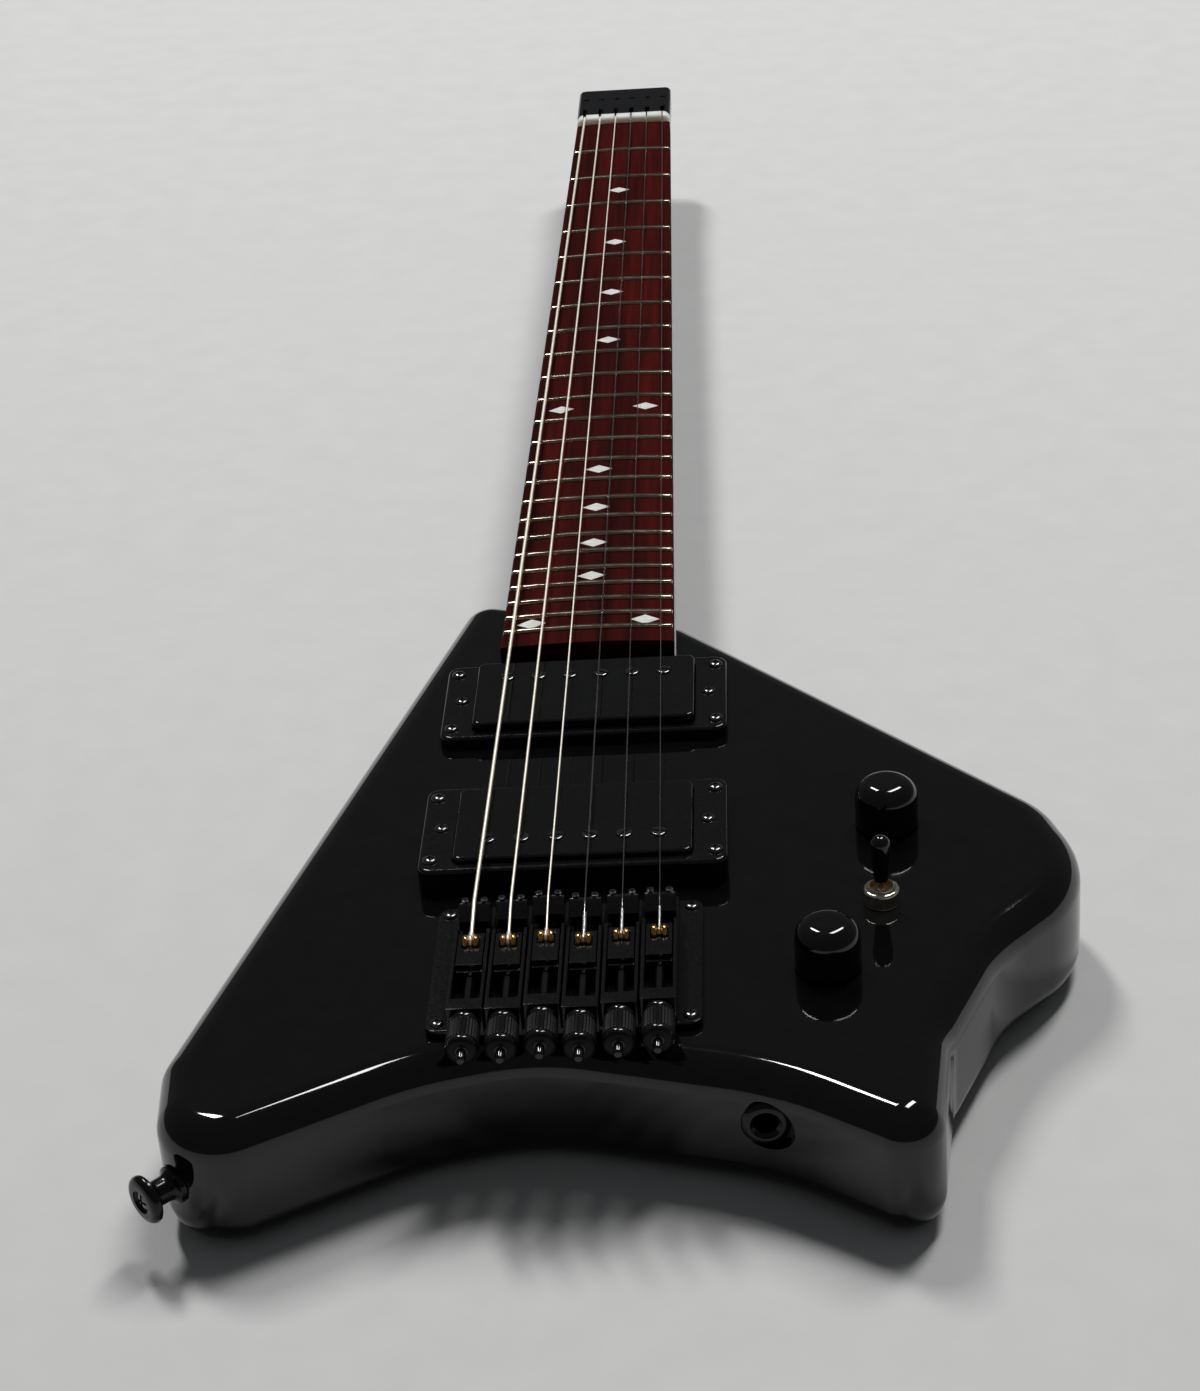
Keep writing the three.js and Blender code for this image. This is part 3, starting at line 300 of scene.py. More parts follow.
tightest_corner, lacquer_inset = max(top_rounding, back_rounding) + 2 * gap, 0.2
body_corners = [(*on_body(x, y), tightest_corner + r * body_width) for x, y, r in body_corner_shares]
body_outline = rounded(body_corners, step=3)
body_levels = [level(body_outline, draw, lacquer_inset + drop)
               for drop, draw in rounding(back_rounding, rounding_steps)]
body_levels += [level(body_outline, thickness - drop, lacquer_inset + draw)
                for drop, draw in rounding(top_rounding, rounding_steps)]

scale_length, board_end, board_end_width, nut_width = 648.0, 152.5, 56.4, 43.0
neck_top, heel_bottom, pocket_mouth = 44.0, 24.3, 230.0


def board_width(y):
    return nut_width + (board_end_width - nut_width) * (scale_length - y) / (scale_length - board_end)


pocket = [[(-board_width(y) / 2 - gap, y, h), (board_width(y) / 2 + gap, y, h)]
          for h in (heel_bottom - gap, thickness + 5 * over) for y in (board_end - gap, pocket_mouth)]
body_cuts = [skin([pocket[0] + pocket[1][::-1], pocket[2] + pocket[3][::-1]])]

pickup_y = {"neck": 127.5, "bridge": 45.6}
well_half_width, well_half_length, well_floor = 36.8, 20.2, 20.0
leg_half_width, leg_half_length, leg_floor = 43.6, 7.0, 20.1
for y in pickup_y.values():
    body_cuts.append(brick((-well_half_width, y - well_half_length, well_floor),
                           (well_half_width, y + well_half_length, thickness + over)))
    body_cuts.append(brick((-leg_half_width, y - leg_half_length, leg_floor),
                           (leg_half_width, y + leg_half_length, thickness + over)))

volume_place, tone_place = on_body(0.3635, 0.2726), on_body(0.2857, -0.2198)
switch_place, jack_place = on_body(0.3496, 0.0561), on_body(0.2119, -0.7418)
pot_room, wire_room, slant_room, cavity_corner = 20, 26, 10, 9
cavity_ceiling, cover_thickness, rebate = 33.4, 2.0, 5.0
cavity_rooms = (
    (tone_place, -wire_room, -pot_room), (tone_place, pot_room, -pot_room), (switch_place, pot_room, 0),
    (volume_place, pot_room, slant_room), (volume_place, 0, wire_room), (volume_place, -pot_room, 0),
    (tone_place, -wire_room, slant_room),
)
cavity_corners = [(x + across, y + along, cavity_corner) for (x, y), across, along in cavity_rooms]
cavity = rounded(cavity_corners, step=6)
body_cuts.append(slab(cavity, -over, cavity_ceiling))
body_cuts.append(slab(cavity, -over, cover_thickness + gap, inset=-rebate))
shaft_hole_radius, shaft_hole_start = 4.7, 30
for x, y in (volume_place, tone_place, switch_place):
    body_cuts.append(moved(rod(shaft_hole_radius, shaft_hole_start, thickness + 2 * over), x, y))

bolt_places = [(-15, 158.5), (15, 158.5), (-15, 174.9), (15, 171.0)]
bolt_hole_radius, bolt_hole_end = 2.4, 30
ferrule_radius, ferrule_play, ferrule_sink = 4.6, 0.15, 2.2
for x, y in bolt_places:
    body_cuts.append(moved(rod(bolt_hole_radius, -over, bolt_hole_end), x, y))
    body_cuts.append(moved(rod(ferrule_radius + ferrule_play, -over, ferrule_sink), x, y))

jack_z, jack_hole_radius, jack_hole_depth = 24.0, 5.9, 35
jack_recess_radius, jack_recess_reach = 7.6, 34
body_cuts.append(moved(rod(jack_hole_radius, 0, jack_hole_depth), *jack_place, jack_z, along_y))
body_cuts.append(moved(rod(jack_recess_radius, -jack_recess_reach, 0), *jack_place, jack_z, along_y))

strap_places = {"horn": (-math.pi * 0.75, 20.0), "neck": (math.pi / 2, 16.0)}
strap_seat_radius, strap_seat_sink, strap_seat_reach = 5.7, 1, 11
strap_hole_radius, strap_hole_depth = 1.75, 32
solid_outline = rounded(body_corners, step=180 / 14)
strap_frames = {}
for name, (angle, z) in strap_places.items():
    wanted = Vector((math.cos(angle), math.sin(angle)))
    point, out = max(solid_outline, key=lambda here: here[1].dot(wanted))
    facing = Matrix.Rotation(math.atan2(out.y, out.x), 3, "Z") @ along_x
    strap_frames[name] = (point.x, point.y, z, facing, out)
    seat = rod(strap_seat_radius, -strap_seat_sink, strap_seat_reach)
    body_cuts.append(moved(seat, point.x, point.y, z, facing))
    hole = rod(strap_hole_radius, -strap_hole_depth, 0)
    body_cuts.append(moved(hole, point.x, point.y, z, facing))

make("body_shell", carve(skin(body_levels), body_cuts), black_lacquer, stands_for=["body"])


# Neck: one timber, a shallow C behind the board that squares up into the heel in its pocket,
# in the body's black lacquer. Four screws through ferrules in the back hold it, and a steel
# rod under the board keeps it straight.
head_end, octave_y = 690.0, 324.0
heel_depth, octave_depth, nut_depth = neck_top - heel_bottom, 16.0, 15.0
heel_block_end, heel_blend_end, heel_blend_steps = 205.9, 239.9, 10
heel_squareness, back_squareness, squareness_lead = 9, 2.3, 1.15
head_rounding = ((3, 0, 1), (1, 0.5, 0.985), (0, 1.5, 0.95))
channel_half_width, channel_start, channel_end, channel_floor = 3.3, 216.2, 636, 34.7
key_hole_radius, key_hole_length, key_hole_z = 3, 60, 39.2
bolt_pilot_start, bolt_pilot_end = 20, 36.5


def neck_ring(y, depth, squareness, narrow=1.0, count=48):
    """Section of the neck below the board: flat on top, round or square behind."""
    half = board_width(y) / 2
    ring = []
    for k in range(count + 1):
        a = math.pi * k / count
        x = -math.copysign(half * abs(math.cos(a)) ** (2 / squareness), math.cos(a)) * narrow
        drop = depth * abs(math.sin(a)) ** (2 / squareness) if 0 < k < count else 0
        ring.append((x, y, neck_top - drop))
    return ring


def dress(name, look, edge=0.2):
    """A solid that keeps its shape gets its finish and softly broken edges."""
    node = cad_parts[name]
    node.data.materials.clear()
    node.data.materials.append(look)
    weld = node.modifiers.new("weld", "WELD")
    weld.merge_threshold = 1e-6
    soften = node.modifiers.new("broken_edges", "BEVEL")
    soften.width = edge * MM
    soften.segments = 2
    soften.limit_method = "ANGLE"
    soften.angle_limit = math.radians(35)
    soften.harden_normals = False
    for face in node.data.polygons:
        face.use_smooth = True
    even_light(node)


neck_rings = [neck_ring(y, heel_depth, heel_squareness) for y in (board_end, heel_block_end)]
for k in range(1, heel_blend_steps):
    share = k / heel_blend_steps
    ease = share * share * (3 - 2 * share)
    y = heel_block_end + (heel_blend_end - heel_block_end) * share
    squareness = heel_squareness * (back_squareness / heel_squareness) ** min(1, ease * squareness_lead)
    neck_rings.append(neck_ring(y, heel_depth + (octave_depth - heel_depth) * ease, squareness))
for y, depth in ((heel_blend_end, octave_depth), (octave_y, octave_depth), (scale_length, nut_depth)):
    neck_rings.append(neck_ring(y, depth, back_squareness))
for back, lift, narrow in head_rounding:
    neck_rings.append(neck_ring(head_end - back, nut_depth - lift, back_squareness, narrow))
neck_cuts = [brick((-channel_half_width, channel_start, channel_floor),
                   (channel_half_width, channel_end, neck_top + 2 * over)),
             moved(rod(key_hole_radius, 0, key_hole_length), 0, channel_end - over, key_hole_z, along_y)]
neck_cuts += [moved(rod(bolt_hole_radius, bolt_pilot_start, bolt_pilot_end), x, y) for x, y in bolt_places]
make("neck_timber", carve(skin(neck_rings), neck_cuts), black_lacquer, stands_for=["neck"])

zinc = finish("zinc_plate", (0.42, 0.42, 0.44), (0.56, 0.56, 0.57), (0.3, 0.42), grain=500, Metallic=1.0)
dress("truss_rod", zinc)


# Fretboard: a 6 mm strip of oiled deep red-brown hardwood, crowned across, with its grain
# along the neck and a dark satin edge. It is glued to the neck.
board_top, crown_radius, edge_break = 50.0, 400.0, 0.5
board_spans, crown_spans = 40, 16


def crown(x):
    """Height of the board's crowned face."""
    return board_top - x * x / (2 * crown_radius)


def board_section(y):
    side = board_width(y) / 2
    shoulder = crown(side) - edge_break
    face = [(side - edge_break) * (2 * k / crown_spans - 1) for k in range(crown_spans + 1)]
    return [(-side, y, neck_top), (-side, y, shoulder), *[(x, y, crown(x)) for x in face],
            (side, y, shoulder), (side, y, neck_top)]


red_board = finish("red_board", (0.022, 0.0014, 0.0010), (0.062, 0.0040, 0.0026), (0.62, 0.75),
                   grain=420, stretch=(1, 0.045, 1), relief=0.00006, Specular_IOR_Level=0.03)
tree = red_board.node_tree
streaks = tree.nodes.new("ShaderNodeTexNoise")
streaks.inputs["Scale"].default_value = 130
streaks.inputs["Detail"].default_value = 3
stretch_out = tree.nodes.new("ShaderNodeMapping")
stretch_out.inputs["Scale"].default_value = (1, 0.03, 1)
tree.links.new(tree.nodes["Texture Coordinate"].outputs["Object"], stretch_out.inputs["Vector"])
tree.links.new(stretch_out.outputs["Vector"], streaks.inputs["Vector"])
darken = tree.nodes.new("ShaderNodeMix")
darken.data_type = "RGBA"
darken.blend_type = "MULTIPLY"
darken.inputs["Factor"].default_value = 0.75
streak_tint = tree.nodes.new("ShaderNodeValToRGB")
streak_tint.color_ramp.elements[0].position = 0.36
streak_tint.color_ramp.elements[0].color = (0.32, 0.26, 0.26, 1)
streak_tint.color_ramp.elements[1].position = 0.62
streak_tint.color_ramp.elements[1].color = (1.15, 1.05, 1.0, 1)
tree.links.new(streaks.outputs["Fac"], streak_tint.inputs["Fac"])
tree.links.new(tree.nodes["Color Ramp"].outputs["Color"], darken.inputs["A"])
tree.links.new(streak_tint.outputs["Color"], darken.inputs["B"])
tree.links.new(darken.outputs["Result"], tree.nodes["Principled BSDF"].inputs["Base Color"])
board_rings = [board_section(board_end + (scale_length - board_end) * k / board_spans)
               for k in range(board_spans + 1)]
make("board_strip", skin(board_rings), red_board, stands_for=["fretboard"])


# Frets: 24 lengths of drawn nickel wire with a low rounded crown, pressed into the board,
# trimmed a little inside its edges and bevelled at both ends.
fret_count, fret_width, fret_height, fret_inset, fret_sink = 24, 2.4, 1.1, 0.25, 0.3
fret_fullness, fret_arc_steps, fret_spans = 0.8, 10, 12
fret_end_bevel = ((0, 0.12), (0.35, 0.7), (0.8, 1))


def fret_y(n):
    return scale_length / 2 ** (n / 12)


def fret_section(x, y, height_share):
    foot = crown(x)
    section = [(x, y - fret_width / 2, foot - fret_sink)]
    for k in range(fret_arc_steps + 1):
        a = math.pi * k / fret_arc_steps
        rise = fret_height * height_share * math.sin(a) ** fret_fullness
        section.append((x, y - fret_width / 2 * math.cos(a), foot + rise))
    section.append((x, y + fret_width / 2, foot - fret_sink))
    return section


def joined(forms):
    """Several forms as one."""
    made = bmesh.new()
    for form in forms:
        held = bpy.data.meshes.new("held")
        form.to_mesh(held)
        form.free()
        made.from_mesh(held)
        bpy.data.meshes.remove(held)
    return made


# The nickel's colour is darkened and warmed past the metal's own tone: a painted reflection of the red board
# on the frets.
fret_nickel_painted_reflection = finish("fret_nickel_painted_reflection", (0.34, 0.26, 0.19), (0.48, 0.39, 0.30), (0.1, 0.18),
                     grain=700, stretch=(0.2, 1, 1), Metallic=1.0)
wires = []
for n in range(1, fret_count + 1):
    half = board_width(fret_y(n)) / 2 - fret_inset
    stations = [(-half + inward, height_share) for inward, height_share in fret_end_bevel]
    stations += [(half * (2 * k / fret_spans - 1), 1) for k in range(1, fret_spans)]
    stations += [(half - inward, height_share) for inward, height_share in reversed(fret_end_bevel)]
    wires.append(skin([fret_section(x, fret_y(n), height_share) for x, height_share in stations]))
make("fret_wires", joined(wires), fret_nickel_painted_reflection, crease=50)


# Position marks: thin lozenges of white pearl let into the board between the frets, one at
# 3, 5, 7, 9, 15, 17, 19 and 21 and two at 12 and 24, sanded level with the wood.
pearl = finish("white_pearl", (0.70, 0.70, 0.66), (0.92, 0.92, 0.90), (0.18, 0.3), grain=260,
               stretch=(1, 2.4, 1), Coat_Weight=0.3)
marks = [(0.0, n) for n in (3, 5, 7, 9, 15, 17, 19, 21)]
marks += [(side * spread, n) for n, spread in ((12, 15.8), (24, 18.7)) for side in (-1, 1)]
mark_half_width, mark_half_length, mark_side_steps = 4.8, 3.1, 6
mark_heights = (-0.8, 0.03)
tips = ((1, 0), (0, 1), (-1, 0), (0, -1), (1, 0))
lozenges = []
for x, n in marks:
    y = (fret_y(n) + fret_y(n - 1)) / 2
    rim = []
    for (ax, ay), (bx, by) in zip(tips, tips[1:]):
        for share in (k / mark_side_steps for k in range(mark_side_steps)):
            across, along = ax + (bx - ax) * share, ay + (by - ay) * share
            rim.append((x + mark_half_width * across, y + mark_half_length * along))
    lozenges.append(skin([[(u, v, crown(u) + lift) for u, v in rim] for lift in mark_heights]))
make("pearl_marks", joined(lozenges), pearl)


# Nut: a bone blank across the end of the board, rounded at both upper corners, polished, and
# filed with one slot for each string.
string_diameters = (1.17, 0.91, 0.66, 0.43, 0.33, 0.25)
nut_spacing, bridge_spacing, middle = 7.2, 10.4, 2.5
nut_rise, saddle_rise = 1.5, 3.6
stagger, stagger_shares = 1.7, (-0.53, -0.65, 0.06, -1, -0.24, 0.47)
strings = []
for i, diameter in enumerate(string_diameters):
    nut_x, bridge_x = (i - middle) * nut_spacing, (i - middle) * bridge_spacing
    nut_z = board_top + nut_rise + diameter / 2 - nut_x ** 2 / (2 * crown_radius)
    saddle_z = board_top + saddle_rise + diameter / 2 - bridge_x ** 2 / (2 * crown_radius)
    strings.append((diameter, nut_x, bridge_x, nut_z, saddle_z, stagger * stagger_shares[i]))

white_bone = finish("white_bone", (0.86, 0.83, 0.76), (0.93, 0.91, 0.86), (0.2, 0.3), grain=320,
                    stretch=(0.3, 1, 1), relief=0.00001, Subsurface_Weight=0.8, Subsurface_Scale=0.005,
                    Subsurface_Radius=(1.0, 0.85, 0.7))
nut_top, nut_foot_corner, nut_top_corner = 53.3, 0.4, 3.4
nut_crown = ((0, 1.5), (0.25, 0.95), (0.7, 0.5), (1.4, 0.16), (2.3, 0), (4.4, 0.1), (4.8, 0.35), (5, 0.8))
slot_play, slot_under, slot_past, slot_top = 0.12, 0.1, 6, 56
nut_plan = rounded([(-nut_width / 2, neck_top, nut_foot_corner), (nut_width / 2, neck_top, nut_foot_corner),
                    (nut_width / 2, nut_top, nut_top_corner), (-nut_width / 2, nut_top, nut_top_corner)],
                   step=8)
nut_levels = []
for y, drop in nut_crown:
    share = 1 - drop / (nut_top - board_top)
    nut_levels.append([(x, scale_length + y, z if z < board_top else board_top + (z - board_top) * share)
                       for x, z, _ in level(nut_plan, 0)])
slots = [brick((x - d / 2 - slot_play, scale_length - over, z - d / 2 - slot_under),
               (x + d / 2 + slot_play, scale_length + slot_past, slot_top)) for d, x, _, z, _, _ in strings]
make("nut_blank", carve(skin(nut_levels), slots), white_bone, stands_for=["nut"])


# String clamp: a black plated block screwed over the head end. Each string dives into its slot
# and a socket screw pinches it, so that no tuning pegs are needed.
black_plate = finish("black_plate", (0.003, 0.003, 0.0032), (0.005, 0.005, 0.0053), (0.13, 0.2), grain=1100,
                     relief=0.000002, Specular_IOR_Level=0.3)
black_steel = finish("black_steel", (0.004, 0.004, 0.0043), (0.009, 0.009, 0.0095), (0.12, 0.2), grain=1500,
                     IOR=1.9)
dress("string_clamp", black_plate, edge=0.3)
clamp_screw_y, clamp_screw_z, screw_root = 676.0, 50.4, 0.2


def socket_screw(radius, height, edge=0.25):
    """Screw head with a hexagonal socket, its seat at z = 0."""
    socket_share, floor_share, slope_share = 0.45, 0.35, 0.3
    head = lathe([(radius, -screw_root), (radius, height - edge),
                  (radius - edge * slope_share, height - edge * slope_share), (radius - edge, height)],
                 sides=32)
    return carve(head, [rod(radius * socket_share, height * floor_share, height + over, sides=6)])


def copies(form, places, turns=None):
    """One form set down at several (x, y, z), in millimetres, each turned by its own angle."""
    pattern = bpy.data.meshes.new("pattern")
    form.to_mesh(pattern)
    form.free()
    made = bmesh.new()
    for i, place in enumerate(places):
        copy = pattern.copy()
        spin = Matrix.Rotation(turns[i], 4, "Z") if turns else Matrix()
        copy.transform(Matrix.Translation(Vector(place) * MM) @ spin)
        made.from_mesh(copy)
        bpy.data.meshes.remove(copy)
    bpy.data.meshes.remove(pattern)
    return made


clamp_screw = socket_screw(radius=1.2, height=1.3)
clamp_screws = [(nut_x, clamp_screw_y, clamp_screw_z) for _, nut_x, *_ in strings]
make("clamp_screws", copies(clamp_screw, clamp_screws), black_steel)


# Pickups: two coils on a base plate under a gloss black cover, hung by two height screws in a
# black moulded ring that four screws fix to the top. One row of slotted poles shows through
# each cover; the bridge pickup and its ring stand higher.
ring_black = finish("ring_black", (0.003, 0.003, 0.0032), (0.005, 0.005, 0.0052), (0.09, 0.15), grain=800,
                    relief=0.000003, Specular_IOR_Level=0.4)
cover_black = finish("cover_black", (0.0024, 0.0024, 0.0026), (0.004, 0.004, 0.0042), (0.06, 0.1), grain=500)
copper_winding = finish("copper_winding", (0.10, 0.028, 0.010), (0.30, 0.10, 0.035), (0.35, 0.5), grain=900,
                        stretch=(0.05, 0.05, 8), relief=0.00008, Metallic=0.5)
cover_depth, cover_wall = 18, 1
pole_profile = ((2.4, -0.5), (2.4, 0.15), (2.28, 0.42), (2.05, 0.55), (1.8, 0.6))
pole_slot = ((-3, -0.32, 0.05), (3, 0.32, 2))
pole_spacing, pole_row_y, pole_turns = 10, 9.3, (0.3, 1.2, 0.1, -0.5, 0.9, -0.2)
ring_screw_x, ring_screw_y, lift_screw_x, screw_sink = 41.4, 17, 39.25, 0.1


def plate_plan(half_width, half_length, corner):
    """Outline of a four-cornered plate about its middle."""
    signs = ((-1, -1), (1, -1), (1, 1), (-1, 1))
    return rounded([(u * half_width, v * half_length, corner) for u, v in signs], step=9)


def cross_screw(radius, height, bowl=0.55):
    """Low domed screw head with a cross slot, its seat at z = 0."""
    rim_share, arm_share, slot_floor_shares = 0.3, 0.13, (0.45, 0.46)
    dome = [(radius, -screw_root), (radius, height * rim_share)]
    dome += [(radius * math.cos(a), height * (rim_share + (1 - rim_share) * math.sin(a)))
             for a in (0.3, 0.6, 0.9, 1.2, 1.45)]
    reach, half = radius * bowl, radius * arm_share
    arms = [brick((-x, -y, height * floor_share), (x, y, height + over))
            for (x, y), floor_share in zip(((reach, half), (half, reach)), slot_floor_shares)]
    return carve(lathe(dome, sides=32), arms)


ring_plan = plate_plan(half_width=45, half_length=22.8, corner=4)
cover_plan = plate_plan(half_width=34.8, half_length=19.2, corner=2.4)
for name, ring_height, cover_top, pole_side in (("neck", 4.0, 47.0, 1), ("bridge", 8.2, 50.0, -1)):
    y = pickup_y[name]
    ring_top = thickness + ring_height
    window = slab(cover_plan, thickness - over, ring_top + over, inset=-gap)
    ring = carve(slab(ring_plan, thickness, ring_top, edge=1.2, steps=5), [window])
    make(f"pickup_surround_{name}", moved(ring, 0, y), ring_black,
         stands_for=[f"pickup_ring_{name}"])
    shell = slab(cover_plan, cover_top - cover_depth, cover_top, edge=0.9, steps=5)
    hollow = slab(cover_plan, cover_top - cover_depth - over, cover_top - cover_wall, inset=cover_wall)
    make(f"pickup_lid_{name}", moved(carve(shell, [hollow]), 0, y), cover_black,
         stands_for=[f"pickup_cover_{name}"])
    pole = carve(lathe(pole_profile, sides=40), [brick(*pole_slot)])
    pole_places = [((i - middle) * pole_spacing, y + pole_row_y * pole_side, cover_top) for i in range(6)]
    make(f"pole_screws_{name}", copies(pole, pole_places, pole_turns), black_steel)
    ring_screw = cross_screw(radius=2.2, height=1.2)
    corners = [(u * ring_screw_x, y + v * ring_screw_y, ring_top - screw_sink)
               for u in (-1, 1) for v in (-1, 1)]
    make(f"ring_screws_{name}", copies(ring_screw, corners), black_steel)
    lift_screw = cross_screw(radius=2.1, height=1.1)
    ears = [(u * lift_screw_x, y, ring_top - screw_sink) for u in (-1, 1)]
    make(f"lift_screws_{name}", copies(lift_screw, ears), black_steel)
    dress(f"pickup_coils_{name}", copper_winding, edge=0.15)


# Bridge: a black plate on the top with six string blocks on it, each fixed by its own lock
# screw. A saddle stands on two small screws in each block, and behind it a carriage that
# holds the string's ball end slides between the block's walls.
dress("bridge_plate", black_plate, edge=0.5)
plate_top, block_floor, lock_screw_y = 42.4, 44.2, 7.4
saddle_screw_x, saddle_screw_y, saddle_screw_lift, string_bite = 2.7, 1, 0.3, 0.15
plate_screw_x, plate_screw_ys = 34.4, (8.4, -43.6)
lock_screws, saddle_screws = [], []
for i, (diameter, _, x, _, saddle_z, crest_y) in enumerate(strings):
    for part, edge in (("string_block", 0.25), ("saddle", 0.2), ("carriage", 0.2)):
        dress(f"{part}_{i + 1}", black_plate, edge)
    lock_screws.append((x, crest_y + lock_screw_y, block_floor))
    crest_z = saddle_z - diameter / 2 - string_bite
    saddle_screws += [(x + side * saddle_screw_x, crest_y + saddle_screw_y, crest_z + saddle_screw_lift)
                      for side in (-1, 1)]
lock_screw = socket_screw(radius=2.25, height=1.7)
make("lock_screws", copies(lock_screw, lock_screws), black_steel)
saddle_screw = socket_screw(radius=1.05, height=0.3, edge=0.1)
make("saddle_screws", copies(saddle_screw, saddle_screws), black_steel)
plate_screw = cross_screw(radius=2.0, height=1.0)
plate_screws = [(u * plate_screw_x, y, plate_top) for u in (-1, 1) for y in plate_screw_ys]
make("plate_screws", copies(plate_screw, plate_screws), black_steel)


# Tuning knobs: turned and knurled brass, plated black, each with smooth collars at its ends.
# Its threaded shank pulls the carriage, and the shank's tip shows behind the knob.
thread_z, knob_front, knob_length = 46.6, -48.6, 13.0
knob_sides, knob_ridges, knob_ridge_depth = 120, 30, 0.16
knob_stations = (
    (0.0, 3.5, 0), (0.15, 3.95, 0), (0.5, 4.28, 0), (1.0, 4.45, 0), (1.6, 4.4, 0), (2.1, 4.2, 0),
    (2.4, 4.05, 0), (2.6, 4.3, 0.5), (2.9, 4.5, 1), (9.9, 4.5, 1), (10.2, 4.3, 0.5), (10.4, 4.05, 0),
    (10.6, 4.2, 0), (11.0, 4.4, 0), (11.5, 4.45, 0), (12.0, 4.35, 0), (12.5, 4.05, 0), (12.85, 3.5, 0),
    (13.0, 2.9, 0), (13.0, 1.6, 0), (13.1, 1.35, 0), (16.6, 1.35, 0), (17.1, 1.1, 0), (17.3, 0.7, 0),
)
knurl_start, knurl_end, rear_face, rear_play = 2.5, 10.3, 0.4, 0.01
shank_length, shank_radius, shank_sides, shank_overlap = 29.4, 1.5, 24, 0.3
thread_pitch, thread_cuts = 0.7, (0.0, 0.14, 0.28, 0.14)
backward = Matrix.Rotation(math.pi / 2, 3, "X")


def ridged(stations, sides, ridges, depth):
    """Turned form with fine ridges, from (height, radius, share of the ridges' depth)."""
    rings = []
    for height, radius, cut in stations:
        reaches = [(a, radius - depth * cut * (1 + math.cos(ridges * a))) for a in around(sides)]
        rings.append([(reach * math.cos(a), reach * math.sin(a), height) for a, reach in reaches])
    return skin(rings)


def threaded_shank():
    """Round shank along Y whose rings rise and fall once for each turn of its thread."""
    rings = []
    for k in range(int(shank_length / thread_pitch * len(thread_cuts))):
        reach, y = shank_radius - thread_cuts[k % len(thread_cuts)], k * thread_pitch / len(thread_cuts)
        rings.append([(reach * math.cos(a), y, reach * math.sin(a)) for a in around(shank_sides)])
    return skin(rings)


knob_black = finish("knob_black", (0.003, 0.003, 0.0033), (0.005, 0.005, 0.0055), (0.1, 0.16), grain=900,
                    relief=0.000002)
satin_black = finish("satin_black", (0.003, 0.003, 0.0033), (0.006, 0.006, 0.0065), (0.34, 0.46), grain=1400,
                     Specular_IOR_Level=0.15)
for i, (_, _, x, _, _, crest_y) in enumerate(strings):
    front = crest_y + knob_front
    knob = ridged(knob_stations, knob_sides, knob_ridges, knob_ridge_depth)
    grip = make(f"tuner_grip_{i + 1}", moved(knob, x, front, thread_z, backward), knob_black,
                body=f"tuner_{i + 1}", stands_for=[f"tuner_knob_{i + 1}"], crease=40)
    grip.data.materials.append(satin_black)
    for face in grip.data.polygons:
        behind = front - face.center.y / MM
        if knurl_start < behind < knurl_end or knob_length - rear_face < behind < knob_length + rear_play:
            face.material_index = 1
    make(f"tuner_thread_{i + 1}", moved(threaded_shank(), x, front - shank_overlap, thread_z), black_steel,
         body=f"tuner_{i + 1}", crease=60)


# Strings: three wound and three plain, each looped round a brass ball end that drops into its
# carriage. The plain ones are twisted round themselves in front of the ball, and the wound ones
# wrapped close to it. The ball end and its loop ride on the carriage; wire and wrap stay put.
wound_count, ball_y, ball_z = 3, -17.4, 51.1
rise_y, rise_share = -13, 0.27
saddle_bend = ((-7, -0.98), (-3, -0.34), (-1.2, -0.08), (0, 0))
free_spans = 60
nut_exit, dive_start, dive_drop = 4.6, 6, 0.7
clamp_mouth, clamp_floor, string_tail = (14.5, 48.1), (17, 47.5), 6
winding_pitch, winding_depths = 0.7, (0.025, 0, 0.025, 0.05)
ball_seat, ball_waist, ball_bore, bore_reach = 0.6, 1.5, 0.8, 3
loop_wire_limit, loop_spans = 0.35, 28
ball_flange = ((ball_waist, 0.6), (1.7, 0.72), (1.98, 0.92), (2.15, 1.16), (2.2, 1.45), (2.14, 1.74),
               (1.96, 1.98), (1.7, 2.14), (1.4, 2.2), (1.0, 2.2))
plain_wrap_end, plain_wrap_pitch, plain_wrap_drop = -6.6, 2.6, 0.1
wound_wrap_end, wound_wrap_pitch, wound_wrap_drop, wound_strand = -14.2, 2, 0.05, 0.16
plain_strand_share, plain_strand_extra = 0.5, 0.12
wrap_start, wrap_rise_share, wrap_seat_share, turn_steps = 0.3, 0.6, 0.7, 10


def tube(points, radius, sides=14):
    """Wire of one radius, or of a list of radii, along a row of points."""
    rings = []
    for i, point in enumerate(points):
        before, after = points[max(0, i - 1)], points[min(len(points) - 1, i + 1)]
        ahead = (Vector(after) - Vector(before)).normalized()
        right = ahead.cross(Vector((0, 0, 1))).normalized()
        up = right.cross(ahead)
        reach = radius[i] if isinstance(radius, list) else radius
        rings.append([Vector(point) + (right * math.cos(a) + up * math.sin(a)) * reach
                      for a in around(sides)])
    return skin(rings)


def winding(path, radius):
    """Close points along a path with the radii of a round winding, four to a turn."""
    points, radii = [], []
    for start, end in zip(path, path[1:]):
        start, end = Vector(start), Vector(end)
        steps = max(1, round((end - start).length / winding_pitch * len(winding_depths)))
        for k in range(steps):
            points.append(start.lerp(end, k / steps))
            radii.append(radius - winding_depths[len(radii) % len(winding_depths)])
    return points + [Vector(path[-1])], radii + [radius - max(winding_depths)]


def wire_finish(name, low, high, rough):
    return finish(name, low, high, rough, grain=2500, Metallic=1.0)


